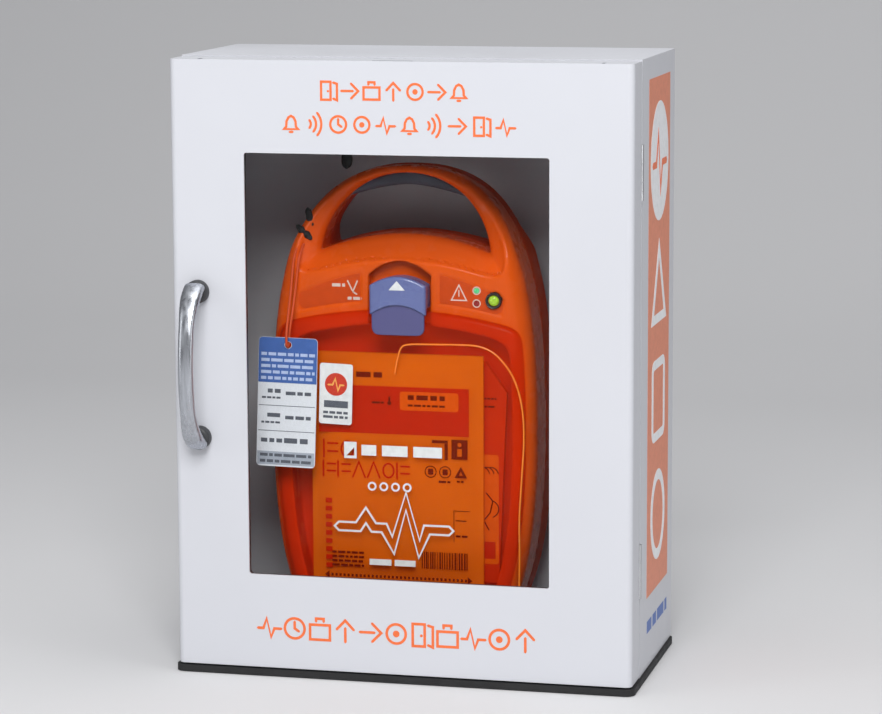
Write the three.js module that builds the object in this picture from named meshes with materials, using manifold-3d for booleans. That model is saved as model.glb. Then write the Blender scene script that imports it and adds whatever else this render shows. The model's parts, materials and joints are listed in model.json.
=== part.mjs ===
// A wall cabinet with an alarmed, glazed door, and the portable defibrillator stored in it.
// Millimetres, +X to the viewer's right, +Y into the cabinet, +Z up.
// Everything is drawn from the door's front face (y = 0) and the cabinet's underside (z = 0),
// and the whole station is moved at the end, so that the origin is the bottom centre of its box.
import * as THREE from 'three';
import { mergeVertices } from 'three/addons/utils/BufferGeometryUtils.js';
import Module from 'manifold-3d';

const wasm = await Module();
wasm.setup();

// ---------------------------------------------------------------- driving dimensions

const GAP = 0.3;                 // between pieces that touch
const SHEET = 1.5;               // painted steel sheet
const CORNER = 5;                // radius of the cabinet's upright edges

const cabinet = { halfWidth: 171, height: 450, front: 32, back: 168, flange: 12 };
const door = { depth: 30, clear: 1 };
const windowHole = { left: -115, right: 110.5, bottom: 71, top: 382, corner: 2 };
const hinge = { x: 170.5, y: 31, radius: 2, length: 40, leaf: 17, pin: 0.9, heights: [80, 370] };
const handle = { x: -151, low: 172, high: 280, reach: 36, bar: 11 };
const mat = { thickness: 4.7, proud: 2 };
const alarm = { halfWidth: 62, front: 36, depth: 66, bottom: 394, top: 447.5, wall: 2 };
const bracket = { halfWidth: 84, front: 64, top: 15, lip: 27.5, backHeight: 96 };

// The defibrillator, drawn round its own centre line.
const unit = { x: -17.5, front: 70, split: 112, back: 150, base: 20, halfWidth: 102, top: 365, wall: 3 };
const opening = { halfWidth: 65, corner: 302, crown: 315, top: 351 };
const arch = { front: 94, back: 132, slopeFoot: 296, slopeTop: 316 };
const lid = { front: 60, back: 69.6, inset: 6, wall: 2.2, bottom: 34, shoulder: 248, crown: 261, corner: 14, round: 6 };
const pocket = { halfWidth: 24, bottom: 236, top: 294, floor: 81 };
const latch = { halfWidth: 22, bottom: 243, step: 265, top: 287 };
const lamps = { x: 58.5, greenZ: 276.4, redZ: 266.9, lensX: 71.5, lensZ: 269.3 };
const tray = { floor: 88, inset: 17 };
const tag = {
  x: -100, y: 56.4, top: 239, width: 45.5, height: 97, thickness: 0.8,
  hole: 233.5, lean: 1, tilt: 3.5, cord: 0.95,
};

// ---------------------------------------------------------------- materials

function material(color, roughness, metalness = 0) {
  return new THREE.MeshStandardMaterial({ color, roughness, metalness });
}

const whitePaint = material(0xe6e8ec, 0.35);
const blackRubber = material(0x111214, 0.8);
const steel = material(0xb8bcc0, 0.35, 1);
const silverPlastic = material(0xc9ccd2, 0.35, 0.3);
const darkPlastic = material(0x26282c, 0.5);
const greyFoam = material(0x45474b, 0.9);
const clearPane = new THREE.MeshStandardMaterial({ color: 0xf4f8fa, roughness: 0.05, transparent: true, opacity: 0.15 });
const orangePlastic = material(0xd9480f, 0.3);
const redLens = new THREE.MeshStandardMaterial({ color: 0xc02a12, roughness: 0.12, transparent: true, opacity: 0.5 });
const blueLatch = material(0x6b74b8, 0.3);
const gripRubber = material(0x39404c, 0.7);
const foilOrange = material(0xf06a1a, 0.4);
const foilRed = material(0xd63a14, 0.4);
const cardWhite = material(0xf2f4f6, 0.5);
const cordRed = material(0xd23412, 0.5);
const greenGlow = material(0x39d353, 0.2);
const redGlow = material(0xc81e1e, 0.2);
const amberButton = material(0xf6a21a, 0.3);
const boardGreen = material(0x1f6b3a, 0.6);

// ---------------------------------------------------------------- solids and shapes

const X = new THREE.Vector3(1, 0, 0);
const Y = new THREE.Vector3(0, 1, 0);
const Z = new THREE.Vector3(0, 0, 1);

function toSolid(geometry) {
  const bare = geometry.clone();
  bare.deleteAttribute('normal');
  bare.deleteAttribute('uv');
  const merged = mergeVertices(bare, 1e-4);
  return new wasm.Manifold(new wasm.Mesh({
    numProp: 3,
    vertProperties: Float32Array.from(merged.attributes.position.array),
    triVerts: Uint32Array.from(merged.index.array),
  }));
}

function toGeometry(solid) {
  const mesh = solid.getMesh();
  const geometry = new THREE.BufferGeometry();
  geometry.setAttribute('position', new THREE.BufferAttribute(Float32Array.from(mesh.vertProperties), 3));
  geometry.setIndex(new THREE.BufferAttribute(Uint32Array.from(mesh.triVerts), 1));
  geometry.computeVertexNormals();
  return geometry;
}

// Joins the first geometry with `added` ones, then takes the `cut` ones away.
function carve(base, cut = [], added = []) {
  let solid = toSolid(base);
  for (const piece of added) solid = solid.add(toSolid(piece));
  for (const piece of cut) solid = solid.subtract(toSolid(piece));
  return toGeometry(solid);
}

function keepWithin(base, region) {
  return toGeometry(toSolid(base).intersect(toSolid(region)));
}

function box(x0, x1, y0, y1, z0, z1) {
  const geometry = new THREE.BoxGeometry(x1 - x0, y1 - y0, z1 - z0);
  return geometry.translate((x0 + x1) / 2, (y0 + y1) / 2, (z0 + z1) / 2);
}

// A round bar along an axis, from `start` to `end` on that axis, about (u, v) on the other two.
function barX(radius, x0, x1, y, z, sides = 20) {
  return new THREE.CylinderGeometry(radius, radius, x1 - x0, sides).rotateZ(Math.PI / 2).translate((x0 + x1) / 2, y, z);
}

function barY(radius, y0, y1, x, z, sides = 20) {
  return new THREE.CylinderGeometry(radius, radius, y1 - y0, sides).translate(x, (y0 + y1) / 2, z);
}

function barZ(radius, z0, z1, x, y, sides = 20) {
  return new THREE.CylinderGeometry(radius, radius, z1 - z0, sides).rotateX(Math.PI / 2).translate(x, y, (z0 + z1) / 2);
}

function extrude(shape, depth, { bevel = 0, rounds = 3, curve = 6 } = {}) {
  return new THREE.ExtrudeGeometry(shape, {
    depth: depth - 2 * bevel,
    curveSegments: curve,
    bevelEnabled: bevel > 0,
    bevelThickness: bevel,
    bevelSize: bevel,
    bevelOffset: -bevel,
    bevelSegments: rounds,
  }).translate(0, 0, bevel);
}

// A shape drawn in x and z, standing from y0 back to y1.
function frontPlate(shape, y0, y1, options) {
  const turned = new THREE.Matrix4().makeBasis(X, Z, Y.clone().negate());
  return extrude(shape, y1 - y0, options).applyMatrix4(turned).translate(0, y1, 0);
}

// A shape drawn in x and y, standing from z0 up to z1.
function levelPlate(shape, z0, z1, options) {
  return extrude(shape, z1 - z0, options).translate(0, 0, z0);
}

// A shape drawn in y and z, from x0 across to x1.
function sidePlate(shape, x0, x1, options) {
  const turned = new THREE.Matrix4().makeBasis(Y, Z, X);
  return extrude(shape, x1 - x0, options).applyMatrix4(turned).translate(x0, 0, 0);
}

function roundedRect(x0, x1, y0, y1, r) {
  const shape = new THREE.Shape();
  shape.moveTo(x0 + r, y0);
  shape.absarc(x1 - r, y0 + r, r, -Math.PI / 2, 0);
  shape.absarc(x1 - r, y1 - r, r, 0, Math.PI / 2);
  shape.absarc(x0 + r, y1 - r, r, Math.PI / 2, Math.PI);
  shape.absarc(x0 + r, y0 + r, r, Math.PI, Math.PI * 1.5);
  shape.closePath();
  return shape;
}

function polygon(points) {
  return new THREE.Shape(points.map(([x, y]) => new THREE.Vector2(x, y)));
}

// ---------------------------------------------------------------- the scene graph

const station = new THREE.Group();

function add(name, geometry, look) {
  const mesh = new THREE.Mesh(geometry, look);
  mesh.name = name;
  station.add(mesh);
}

// ---------------------------------------------------------------- cabinet

// A box folded from sheet, open to -Y, with the upright edges rounded.
function foldedBox(y0, y1, z0, z1, openFront, openBack) {
  const w = cabinet.halfWidth;
  const outer = levelPlate(roundedRect(-w, w, y0 - (openFront ? CORNER : 0), y1 + (openBack ? CORNER : 0), CORNER), z0, z1);
  const body = keepWithin(outer, box(-w - 1, w + 1, y0, y1, z0 - 1, z1 + 1));
  return carve(body, [box(
    -w + SHEET, w - SHEET,
    openFront ? y0 - 1 : y0 + SHEET, openBack ? y1 + 1 : y1 - SHEET,
    z0 + SHEET, z1 - SHEET,
  )]);
}

function hingeNotches(y0, y1) {
  const reach = hinge.radius + GAP;
  return hinge.heights.map((z) => box(
    cabinet.halfWidth - 3.6, cabinet.halfWidth + 1,
    Math.max(y0, hinge.y - reach), Math.min(y1, hinge.y + reach),
    z - hinge.length / 2 - GAP, z + hinge.length / 2 + GAP,
  ));
}

function addCase() {
  const w = cabinet.halfWidth;
  const h = cabinet.height;
  const inner = w - SHEET;
  const walls = foldedBox(cabinet.front, cabinet.back, 0, h, true, true);
  const flange = carve(
    box(-inner - 0.5, inner + 0.5, cabinet.front, cabinet.front + SHEET, SHEET - 0.5, h - SHEET + 0.5),
    [box(-inner + cabinet.flange, inner - cabinet.flange, 0, 100, SHEET + cabinet.flange, h - SHEET - cabinet.flange)],
  );
  const magnetWindow = box(-inner, -inner + 20, cabinet.front - 1, cabinet.front + 3, 203, 247);
  const leafSlots = hinge.heights.map((z) => box(
    inner - 2.2, inner, cabinet.front - 1, cabinet.front + 3, z - hinge.length / 2 - 1, z + hinge.length / 2 + 1,
  ));
  const notches = hingeNotches(cabinet.front - 1, cabinet.front + 5);
  add('case_shell', carve(walls, [magnetWindow, ...leafSlots, ...notches], [flange]), whitePaint);

  const clear = SHEET + GAP;
  const holes = [-110, 110].flatMap((x) => [60, 400].map((z) => barY(3.5, 160, 172, x, z)));
  add('case_back', carve(
    box(-w + clear, w - clear, cabinet.back - SHEET, cabinet.back, clear, h - clear), holes,
  ), whitePaint);

  const matShape = roundedRect(-w - mat.proud, w + mat.proud, -mat.proud, cabinet.back, CORNER + mat.proud);
  add('base_mat', levelPlate(matShape, -mat.thickness - GAP, -GAP), blackRubber);

  const catchBody = carve(
    box(-inner + GAP, -inner + 19, 34, 46, 205, 245),
    [box(-inner + 4, -inner + 16, 33, 42, 212, 238)],
  );
  add('magnet_housing', catchBody, darkPlastic);
  add('catch_magnet', box(-inner + 4.3, -inner + 15.7, 33.2, 41.7, 212.3, 237.7), steel);
}

// One butt hinge: two knuckles and a leaf on the case, one knuckle and a leaf on the door, and a pin.
function addHinge(name, z) {
  const half = hinge.length / 2;
  const middle = hinge.length / 6;
  const leafIn = cabinet.halfWidth - SHEET - GAP - 1.2;
  const leafOut = cabinet.halfWidth - SHEET - GAP;
  const bore = barZ(hinge.pin + 0.05, z - half - 1, z + half + 1, hinge.x, hinge.y, 24);

  const caseLeaf = box(leafIn, leafOut, hinge.y, hinge.y + hinge.leaf, z - half, z + half);
  const caseKnuckle = barZ(hinge.radius, z - half, z + half, hinge.x, hinge.y, 24);
  const doorRoom = box(hinge.x - 4, hinge.x + 4, hinge.y - 4, hinge.y + 2.6, z - middle - GAP, z + middle + GAP);
  add(`hinge_${name}_case_leaf`, carve(caseLeaf, [doorRoom, bore], [caseKnuckle]), steel);

  const doorLeaf = carve(
    box(leafIn, leafOut, hinge.y - hinge.leaf, hinge.y, z - half, z + half),
    [
      box(leafIn - 1, leafOut + 1, hinge.y - 2.6, hinge.y + 1, z + middle, z + half + 1),
      box(leafIn - 1, leafOut + 1, hinge.y - 2.6, hinge.y + 1, z - half - 1, z - middle),
    ],
  );
  const doorKnuckle = barZ(hinge.radius, z - middle, z + middle, hinge.x, hinge.y, 24);
  add(`hinge_${name}_door_leaf`, carve(doorLeaf, [bore], [doorKnuckle]), steel);
  add(`hinge_${name}_pin`, barZ(hinge.pin, z - half - 0.5, z + half + 0.5, hinge.x, hinge.y, 24), steel);
}

// ---------------------------------------------------------------- door

function addDoor() {
  const inner = cabinet.halfWidth - SHEET;
  const h = cabinet.height;
  const hole = windowHole;
  const pan = foldedBox(0, door.depth, door.clear, h - door.clear, false, true);
  const cut = frontPlate(roundedRect(hole.left, hole.right, hole.bottom, hole.top, hole.corner), -1, 3);
  add('door_panel', carve(pan, [cut, ...hingeNotches(20, 40)]), whitePaint);

  const paneShape = roundedRect(hole.left - 9, hole.right + 9, hole.bottom - 9, hole.top + 9, 4);
  add('window_pane', frontPlate(paneShape, SHEET + GAP, SHEET + GAP + 3), clearPane);

  const outer = roundedRect(hole.left - 12, hole.right + 12, hole.bottom - 12, hole.top + 12, 5);
  outer.holes.push(roundedRect(hole.left - 1, hole.right + 1, hole.bottom - 1, hole.top + 1, 3));
  const seat = frontPlate(roundedRect(
    hole.left - 9 - GAP, hole.right + 9 + GAP, hole.bottom - 9 - GAP, hole.top + 9 + GAP, 4,
  ), 0, SHEET + 2 * GAP + 3);
  add('window_retainer', carve(frontPlate(outer, SHEET + GAP, 8), [seat]), darkPlastic);

  const strike = carve(
    box(-inner + GAP, -inner + 1.8, 12, 31.4, 208, 242), [],
    [box(-inner + 1, -inner + 17, 30.2, 31.4, 208, 242)],
  );
  add('strike_plate', strike, steel);

  for (const [name, z] of [['upper', 420], ['lower', 30]]) {
    add(`door_bumper_${name}`, barY(4, SHEET + GAP, 31.2, -150, z, 16), blackRubber);
  }
}

// The bar bows out from two round feet, on an arc through its ends and its middle.
function addHandle() {
  const mid = (handle.low + handle.high) / 2;
  const halfSpan = (handle.high - handle.low) / 2;
  const centreY = -handle.reach + handle.bar / 2;
  const path = new THREE.CatmullRomCurve3([
    new THREE.Vector3(handle.x, -6, mid - halfSpan),
    new THREE.Vector3(handle.x, -15, mid - halfSpan + 3),
    new THREE.Vector3(handle.x, centreY + 3.5, mid - halfSpan * 0.66),
    new THREE.Vector3(handle.x, centreY, mid),
    new THREE.Vector3(handle.x, centreY + 3.5, mid + halfSpan * 0.66),
    new THREE.Vector3(handle.x, -15, mid + halfSpan - 3),
    new THREE.Vector3(handle.x, -6, mid + halfSpan),
  ], false, 'centripetal');
  const section = new THREE.Shape();
  section.absarc(0, 0, handle.bar / 2, 0, Math.PI * 2);
  const bar = new THREE.ExtrudeGeometry(section, { extrudePath: path, steps: 26, curveSegments: 6, bevelEnabled: false });
  const behind = box(handle.x - 20, handle.x + 20, -8, 10, 0, cabinet.height);
  add('door_handle', carve(bar, [behind]), silverPlastic);
  for (const [name, z] of [['lower', handle.low], ['upper', handle.high]]) {
    add(`handle_foot_${name}`, barY(8, -8 + GAP, -GAP, handle.x, z, 24), darkPlastic);
  }
}

// ---------------------------------------------------------------- alarm box

function addAlarm() {
  const { halfWidth, front, depth, bottom, top, wall } = alarm;
  const shell = frontPlate(roundedRect(-halfWidth, halfWidth, bottom, top, 3), front, front + depth);
  const hollow = box(-halfWidth + wall, halfWidth - wall, front + wall, front + depth + 1, bottom + wall, top - wall);
  const grilleSeat = barY(17, front - 1, front + wall + 1, 22, 420, 32);
  const plungerHole = box(-52.3, -43.7, front - 1, front + 4, 415.7, 424.3);
  const toggleSlot = box(-31, -17, front - 1, front + 4, 417.5, 422.5);
  const lampHole = barY(2.8, front - 1, front + 4, -8, 434, 16);
  add('alarm_housing', carve(shell, [hollow, grilleSeat, plungerHole, toggleSlot, lampHole]), cardWhite);

  const slots = [-9, -4.5, 0, 4.5, 9].map((dz) => box(12, 32, front - 1, front + 4, 420 + dz - 1, 420 + dz + 1));
  add('alarm_grille', carve(barY(17 - GAP, front, front + wall, 22, 420, 32), slots), darkPlastic);
  add('alarm_speaker', barY(14, front + 3, front + 20, 22, 420, 24), blackRubber);
  add('alarm_battery', box(-56, -6, front + 26, front + 52, 398, 424), darkPlastic);
  add('alarm_lamp', barY(2.5, front - 1.2, front + 5, -8, 434, 16), redGlow);

  // The plunger is pressed in by a strut on the shut door.
  const plunger = carve(box(-51.9, -44.1, front - 4, front + 14, 416.1, 423.9), [],
    [box(-54, -42, front + 8, front + 11, 414, 426)]);
  add('alarm_plunger', plunger, darkPlastic);
  const strut = box(-54, -42, SHEET + GAP, front - 4 - GAP, 414, 426);
  add('plunger_strut', strut, darkPlastic);
  add('alarm_toggle', carve(box(-29.8, -24.2, front - 3, front + 6, 417.9, 422.1), [],
    [box(-33, -21, front + 3, front + 5, 415, 425)]), redGlow);
}

// ---------------------------------------------------------------- bracket under the unit

function addBracket() {
  const { halfWidth, front, top, lip, backHeight } = bracket;
  const x0 = unit.x - halfWidth;
  const x1 = unit.x + halfWidth;
  const rear = cabinet.back - SHEET - GAP;
  const profile = polygon([
    [front, top - 2], [rear, top - 2], [rear, backHeight], [rear - 2, backHeight], [rear - 2, top], [front + 2, top],
    [front + 2, lip], [front, lip],
  ]);
  add('unit_bracket', sidePlate(profile, x0, x1), whitePaint);
  add('bracket_pad', box(x0 + 6, x1 - 6, front + 4, rear - 4, top + GAP, unit.base - GAP), greyFoam);
}

// ---------------------------------------------------------------- the defibrillator's outlines

// Half of the unit's outline, from the base's corner to the crown of the handle.
const outlineCurves = [
  new THREE.CubicBezierCurve(
    new THREE.Vector2(66, unit.base), new THREE.Vector2(91, unit.base + 2),
    new THREE.Vector2(unit.halfWidth, 95), new THREE.Vector2(unit.halfWidth, 160),
  ),
  new THREE.CubicBezierCurve(
    new THREE.Vector2(unit.halfWidth, 160), new THREE.Vector2(unit.halfWidth + 1.5, 285),
    new THREE.Vector2(86, unit.top + 2), new THREE.Vector2(0, unit.top),
  ),
];

// Points of the right half of the outline, moved in by `inset`.
function halfOutline(inset, steps = [7, 13]) {
  const points = [];
  outlineCurves.forEach((curve, index) => {
    const count = steps[index];
    for (let i = index; i <= count; i += 1) {
      const p = curve.getPoint(i / count);
      const t = curve.getTangent(i / count);
      points.push(new THREE.Vector2(p.x - t.y * inset, p.y + t.x * inset));
    }
  });
  return points;
}

function mirrored(points) {
  const left = points.map((p) => new THREE.Vector2(-p.x, p.y)).reverse();
  const all = [...points, ...left];
  const distinct = all.filter((p, i) => p.distanceTo(all[(i + 1) % all.length]) > 0.5);
  return new THREE.Shape(distinct.map((p) => new THREE.Vector2(p.x + unit.x, p.y)));
}

function unitOutline(inset) {
  return mirrored(halfOutline(inset));
}

// A closed outline bounded above by an arch from (-halfWidth, shoulder) over (0, crown).
function archedShape(halfWidth, bottom, shoulder, crown, corner = 0) {
  const shape = new THREE.Shape();
  const x = unit.x;
  shape.moveTo(x - halfWidth + corner, bottom);
  shape.lineTo(x + halfWidth - corner, bottom);
  shape.quadraticCurveTo(x + halfWidth, bottom, x + halfWidth, bottom + corner + 0.1);
  shape.lineTo(x + halfWidth, shoulder);
  shape.quadraticCurveTo(x, 2 * crown - shoulder, x - halfWidth, shoulder);
  shape.lineTo(x - halfWidth, bottom + corner + 0.1);
  shape.quadraticCurveTo(x - halfWidth, bottom, x - halfWidth + corner, bottom);
  return shape;
}

// The space that the hand goes through: flat-bottomed, arched above.
function handOpening(grow = 0) {
  const { halfWidth, corner, crown, top } = opening;
  const w = halfWidth + grow;
  const x = unit.x;
  const shape = new THREE.Shape();
  shape.moveTo(x + w, corner - grow);
  shape.bezierCurveTo(x + w - 3, 335, x + 43 + grow, top + grow, x, top + grow);
  shape.bezierCurveTo(x - 43 - grow, top + grow, x - w + 3, 335, x - w, corner - grow);
  shape.quadraticCurveTo(x, 2 * crown - corner - grow, x + w, corner - grow);
  return shape;
}

// The lid's outline: the unit's own sides, under an arch, with rounded shoulders.
function lidOutline(inset) {
  const round = lid.corner - inset;
  const base = lid.bottom + inset;
  const limit = lid.shoulder - inset - round;
  const sides = halfOutline(lid.inset + inset, [7, 22]).filter((p) => p.y > base + 4 && p.y < limit);
  const first = sides[0];
  const edge = sides[sides.length - 1].x;
  const archHeight = (x) => lid.crown - inset - (lid.crown - lid.shoulder) * (x / edge) ** 2;
  const points = [new THREE.Vector2(first.x - 5, base), ...sides];
  const shoulder = new THREE.QuadraticBezierCurve(
    new THREE.Vector2(edge - 0.5, limit), new THREE.Vector2(edge - 1, archHeight(edge)),
    new THREE.Vector2(edge - round, archHeight(edge - round)),
  );
  points.push(...shoulder.getPoints(4));
  for (let i = 1; i <= 6; i += 1) {
    const x = (edge - round) * (1 - i / 6);
    points.push(new THREE.Vector2(x, archHeight(x)));
  }
  return mirrored(points);
}

// ---------------------------------------------------------------- the defibrillator

function addShells() {
  const { front, split, back, wall } = unit;
  const whole = frontPlate(unitOutline(0), front, back, { bevel: 13, rounds: 4 });
  const handleHole = frontPlate(handOpening(), front - 5, back + 5, { curve: 10 });
  // The shoulder slopes back to the handle's arch, which is thinner than the body below it.
  const shoulder = (grow) => sidePlate(polygon([
    [front - 20, arch.slopeFoot - 16 - grow], [front, arch.slopeFoot - grow], [arch.front + grow, arch.slopeTop - grow],
    [arch.front + grow, 430], [front - 20, 430],
  ]), -200, 200);
  const behindArch = (grow) => sidePlate(polygon([
    [arch.back - grow, 318 - grow], [back + 20, 300 - grow], [back + 20, 430], [arch.back - grow, 430],
  ]), -200, 200);
  const outer = carve(whole, [handleHole, shoulder(0), behindArch(0)]);
  const inside = carve(
    frontPlate(unitOutline(wall), front + wall, back - wall, { bevel: 11, rounds: 3 }),
    [frontPlate(handOpening(wall), front - 5, back + 5, { curve: 10 }), shoulder(wall), behindArch(wall)],
  );
  const trayShape = lidOutline(tray.inset - lid.inset);
  const trayBlock = frontPlate(lidOutline(tray.inset - lid.inset - wall), front + 1, tray.floor + wall);
  const trayHole = frontPlate(trayShape, front - 2, tray.floor);
  const pocketShape = roundedRect(unit.x - pocket.halfWidth, unit.x + pocket.halfWidth, pocket.bottom, pocket.top, 8);
  const pocketBlock = frontPlate(roundedRect(
    unit.x - pocket.halfWidth - wall, unit.x + pocket.halfWidth + wall, pocket.bottom - wall, pocket.top + wall, 10,
  ), front + 1, pocket.floor + wall);
  const pocketHole = frontPlate(pocketShape, front - 2, pocket.floor);
  const lidSeat = frontPlate(lidOutline(-GAP - 0.4), front - 2, front + 1.2);
  const bandSeat = carve(
    frontPlate(archedShape(80, 248, 268, 290), front - 2, front + 1),
    [frontPlate(archedShape(95, 200, 252, 266), front - 3, front + 3)],
  );
  const ahead = box(-200, 200, 0, split - GAP / 2, 0, 420);
  const behind = box(-200, 200, split + GAP / 2, 200, 0, 420);

  const button = barY(13 + GAP, tray.floor - 1, tray.floor + 8, unit.x + 34, 160, 28);
  const modeSlot = box(unit.x + 22, unit.x + 46, tray.floor - 1, tray.floor + 8, 97, 103);
  const socketHole = box(unit.x - 52, unit.x - 24, tray.floor - 1, tray.floor + 8, 188, 206);
  const lensHole = barY(6.3, front - 2, front + 9, unit.x + lamps.lensX, lamps.lensZ, 24);
  const lampHoles = [lamps.greenZ, lamps.redZ].map((z) => barY(2.4, front - 2, front + 9, unit.x + lamps.x, z, 14));
  const speakerSlots = [0, 1, 2, 3].map((i) => box(
    unit.x - 54, unit.x - 26, tray.floor - 1, tray.floor + 8, 90 + i * 6, 93 + i * 6,
  ));

  let frontShell = carve(outer, [inside], [trayBlock, pocketBlock]);
  frontShell = carve(frontShell, [
    trayHole, pocketHole, lidSeat, bandSeat, behind, button, modeSlot, socketHole, lensHole, ...lampHoles, ...speakerSlots,
    box(-200, 200, split - 1, 200, 0, 420),
  ]);
  add('unit_front_shell', keepWithin(frontShell, frontPlate(unitOutline(0), front, back, { bevel: 13, rounds: 4 })), orangePlastic);

  const batteryBay = box(unit.x - 42, unit.x + 42, back - 30, back + 2, 40, 130);
  const bayWalls = box(unit.x - 42 - wall, unit.x + 42 + wall, back - 30 - wall, back - 1, 40 - wall, 130 + wall);
  const rearShell = carve(carve(outer, [inside], [bayWalls]), [ahead, batteryBay]);
  add('unit_rear_shell', rearShell, orangePlastic);
  add('battery_pack', carve(
    frontPlate(roundedRect(unit.x - 41.6, unit.x + 41.6, 40.4, 129.6, 4), back - 29.5, back - 0.5, { bevel: 1.5, rounds: 2 }),
    [box(unit.x - 12, unit.x + 12, back - 6, back + 1, 118, 131)],
  ), darkPlastic);
}

function addHandleGrip() {
  const grip = carve(
    frontPlate(handOpening(-GAP), arch.front + 4, arch.back - 4, { curve: 10 }),
    [
      frontPlate(handOpening(-3.4), unit.front, unit.back, { curve: 10 }),
      box(unit.x - 120, unit.x + 120, 0, 200, 0, opening.top - 16),
    ],
  );
  add('handle_grip', grip, gripRubber);
}

function addControls() {
  const { front } = unit;
  const lensX = unit.x + lamps.lensX;
  const bezel = barY(6, front - 1.2, front + 6, lensX, lamps.lensZ, 24);
  add('status_bezel', carve(bezel, [barY(4.2, front - 3, front + 8, lensX, lamps.lensZ, 24)]), darkPlastic);
  add('status_lens', barY(3.9, front - 0.4, front + 5, lensX, lamps.lensZ, 20), greenGlow);
  add('lamp_green', barY(2.1, front + 0.2, front + 5, unit.x + lamps.x, lamps.greenZ, 14), greenGlow);
  add('lamp_red', barY(2.1, front + 0.2, front + 5, unit.x + lamps.x, lamps.redZ, 14), redGlow);

  const buttonX = unit.x + 34;
  const cap = carve(barY(13, tray.floor - 3.5, tray.floor + 4, buttonX, 160, 28), [],
    [barY(15, tray.floor + 4, tray.floor + 6, buttonX, 160, 28)]);
  add('shock_button', cap, amberButton);
  add('mode_switch', carve(box(unit.x + 25, unit.x + 33, tray.floor - 3, tray.floor + 5, 97.6, 102.4), [],
    [box(unit.x + 21, unit.x + 37, tray.floor + 3.6, tray.floor + 5, 94, 106)]), cardWhite);

  const socketMid = unit.x - 38;
  add('pads_socket', carve(
    box(socketMid - 13.6, socketMid + 13.6, tray.floor - 0.4, tray.floor + 16, 188.4, 205.6),
    [box(socketMid - 9, socketMid + 9, tray.floor - 1, tray.floor + 12, 192, 202)],
  ), darkPlastic);
  add('pads_plug', box(socketMid - 8.6, socketMid + 8.6, tray.floor - 6, tray.floor + 11.6, 192.4, 201.6), cardWhite);
  add('speaker_cone', barY(16, tray.floor + 4, tray.floor + 14, unit.x - 40, 100, 24), blackRubber);
  add('circuit_board', box(unit.x - 70, unit.x + 70, 108, 109.6, 150, 285), boardGreen);
  add('capacitor', barX(15, unit.x - 30, unit.x + 34, 128, 220, 28), steel);
}

function addLid() {
  const behind = 20;
  const outer = frontPlate(lidOutline(0), lid.front, lid.back + behind, { bevel: lid.round, rounds: 3 });
  const body = keepWithin(outer, box(-300, 300, 0, lid.back, 0, 400));
  const inner = frontPlate(
    lidOutline(lid.wall), lid.front + lid.wall, lid.back + behind, { bevel: lid.round - lid.wall, rounds: 3 },
  );
  const latchNotch = box(unit.x - 16, unit.x + 16, lid.front - 1, lid.back + 1, lid.crown - 10, lid.crown + 10);
  add('lid_shell', carve(body, [inner, latchNotch]), redLens);
  for (const [name, x] of [['left', unit.x - 46], ['right', unit.x + 46]]) {
    add(`lid_hinge_${name}`, barX(2.4, x - 9, x + 9, lid.back - 2.6, lid.bottom - 2.8, 16), darkPlastic);
  }
}

// The latch rides on the lid: a rounded head with an arrow, over a lower thumb plate.
function addLatch() {
  const head = archedShape(latch.halfWidth, latch.step - 3, latch.top - 4, latch.top, 2);
  const thumb = roundedRect(unit.x - 17.5, unit.x + 17.5, latch.bottom, latch.step + 6, 5);
  const slider = carve(
    frontPlate(head, unit.front - 6, unit.front + 4, { bevel: 1.5, rounds: 2 }), [],
    [frontPlate(thumb, lid.front - 2.5, lid.front - 0.4)],
  );
  const web = box(unit.x - 14, unit.x + 14, lid.front - 1, unit.front, lid.crown - 6, latch.step + 3);
  add('latch_slider', carve(slider, [], [web]), blueLatch);
}

function addPouches() {
  const x = unit.x;
  const main = roundedRect(x - 68, x + 64, 52, 228, 4);
  add('pads_pouch', frontPlate(main, 65, 74, { bevel: 3, rounds: 2 }), foilOrange);
  const spare = polygon([[x - 30, 56], [x + 74, 56], [x + 80, 200], [x + 64, 222], [x - 30, 222]]);
  add('spare_pouch', frontPlate(spare, 75, 81), foilRed);
}

// The card hangs a few degrees off upright from a doubled cord, which two ties hold to the handle.
function addTag() {
  const { x, y, top, width, height, thickness, hole, lean, tilt } = tag;
  const card = frontPlate(roundedRect(-width / 2, width / 2, top - height - hole, top - hole, 2), 0, thickness);
  const punched = carve(card, [barY(2.6, -1, thickness + 1, 0, 0, 16)]);
  punched.rotateX(THREE.MathUtils.degToRad(-tilt)).rotateY(THREE.MathUtils.degToRad(lean));
  add('tag_card', punched.translate(x, y, hole), cardWhite);

  const path = new THREE.CatmullRomCurve3([
    [-97.2, 77.2, 307], [-98.2, 69.4, 299], [-98.9, 66.8, 289], [-99.4, 62.6, 272], [-99.9, 56.2, 254],
    [-100, 52.8, 244], [-100, 51.9, 238], [-100, 52.5, 234.6], [-100, 54.4, 232.5], [-100, 56.9, 232.6],
    [-100, 58.4, 234.8], [-100, 58.8, 238.4], [-99.2, 58.8, 246], [-97.6, 60.6, 258], [-96.4, 64.6, 274],
    [-95.2, 67.2, 289], [-94.2, 69.4, 299], [-93.2, 77.2, 307],
  ].map((p) => new THREE.Vector3(...p)));
  const section = new THREE.Shape();
  section.absarc(0, 0, tag.cord, 0, Math.PI * 2);
  add('tag_cord', new THREE.ExtrudeGeometry(section, { extrudePath: path, steps: 76, curveSegments: 4 }), cordRed);

  const tie = (cx, cy, cz, turn) => new THREE.CapsuleGeometry(2.7, 11, 4, 10)
    .rotateX(Math.PI / 2).rotateY(turn).translate(cx, cy, cz);
  add('cord_tie_upper', tie(-90, 84, 326, -0.25), blackRubber);
  add('cord_tie_lower', tie(-93.5, 80, 315.5, -0.85), blackRubber);
}

// ---------------------------------------------------------------- assembly

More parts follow.
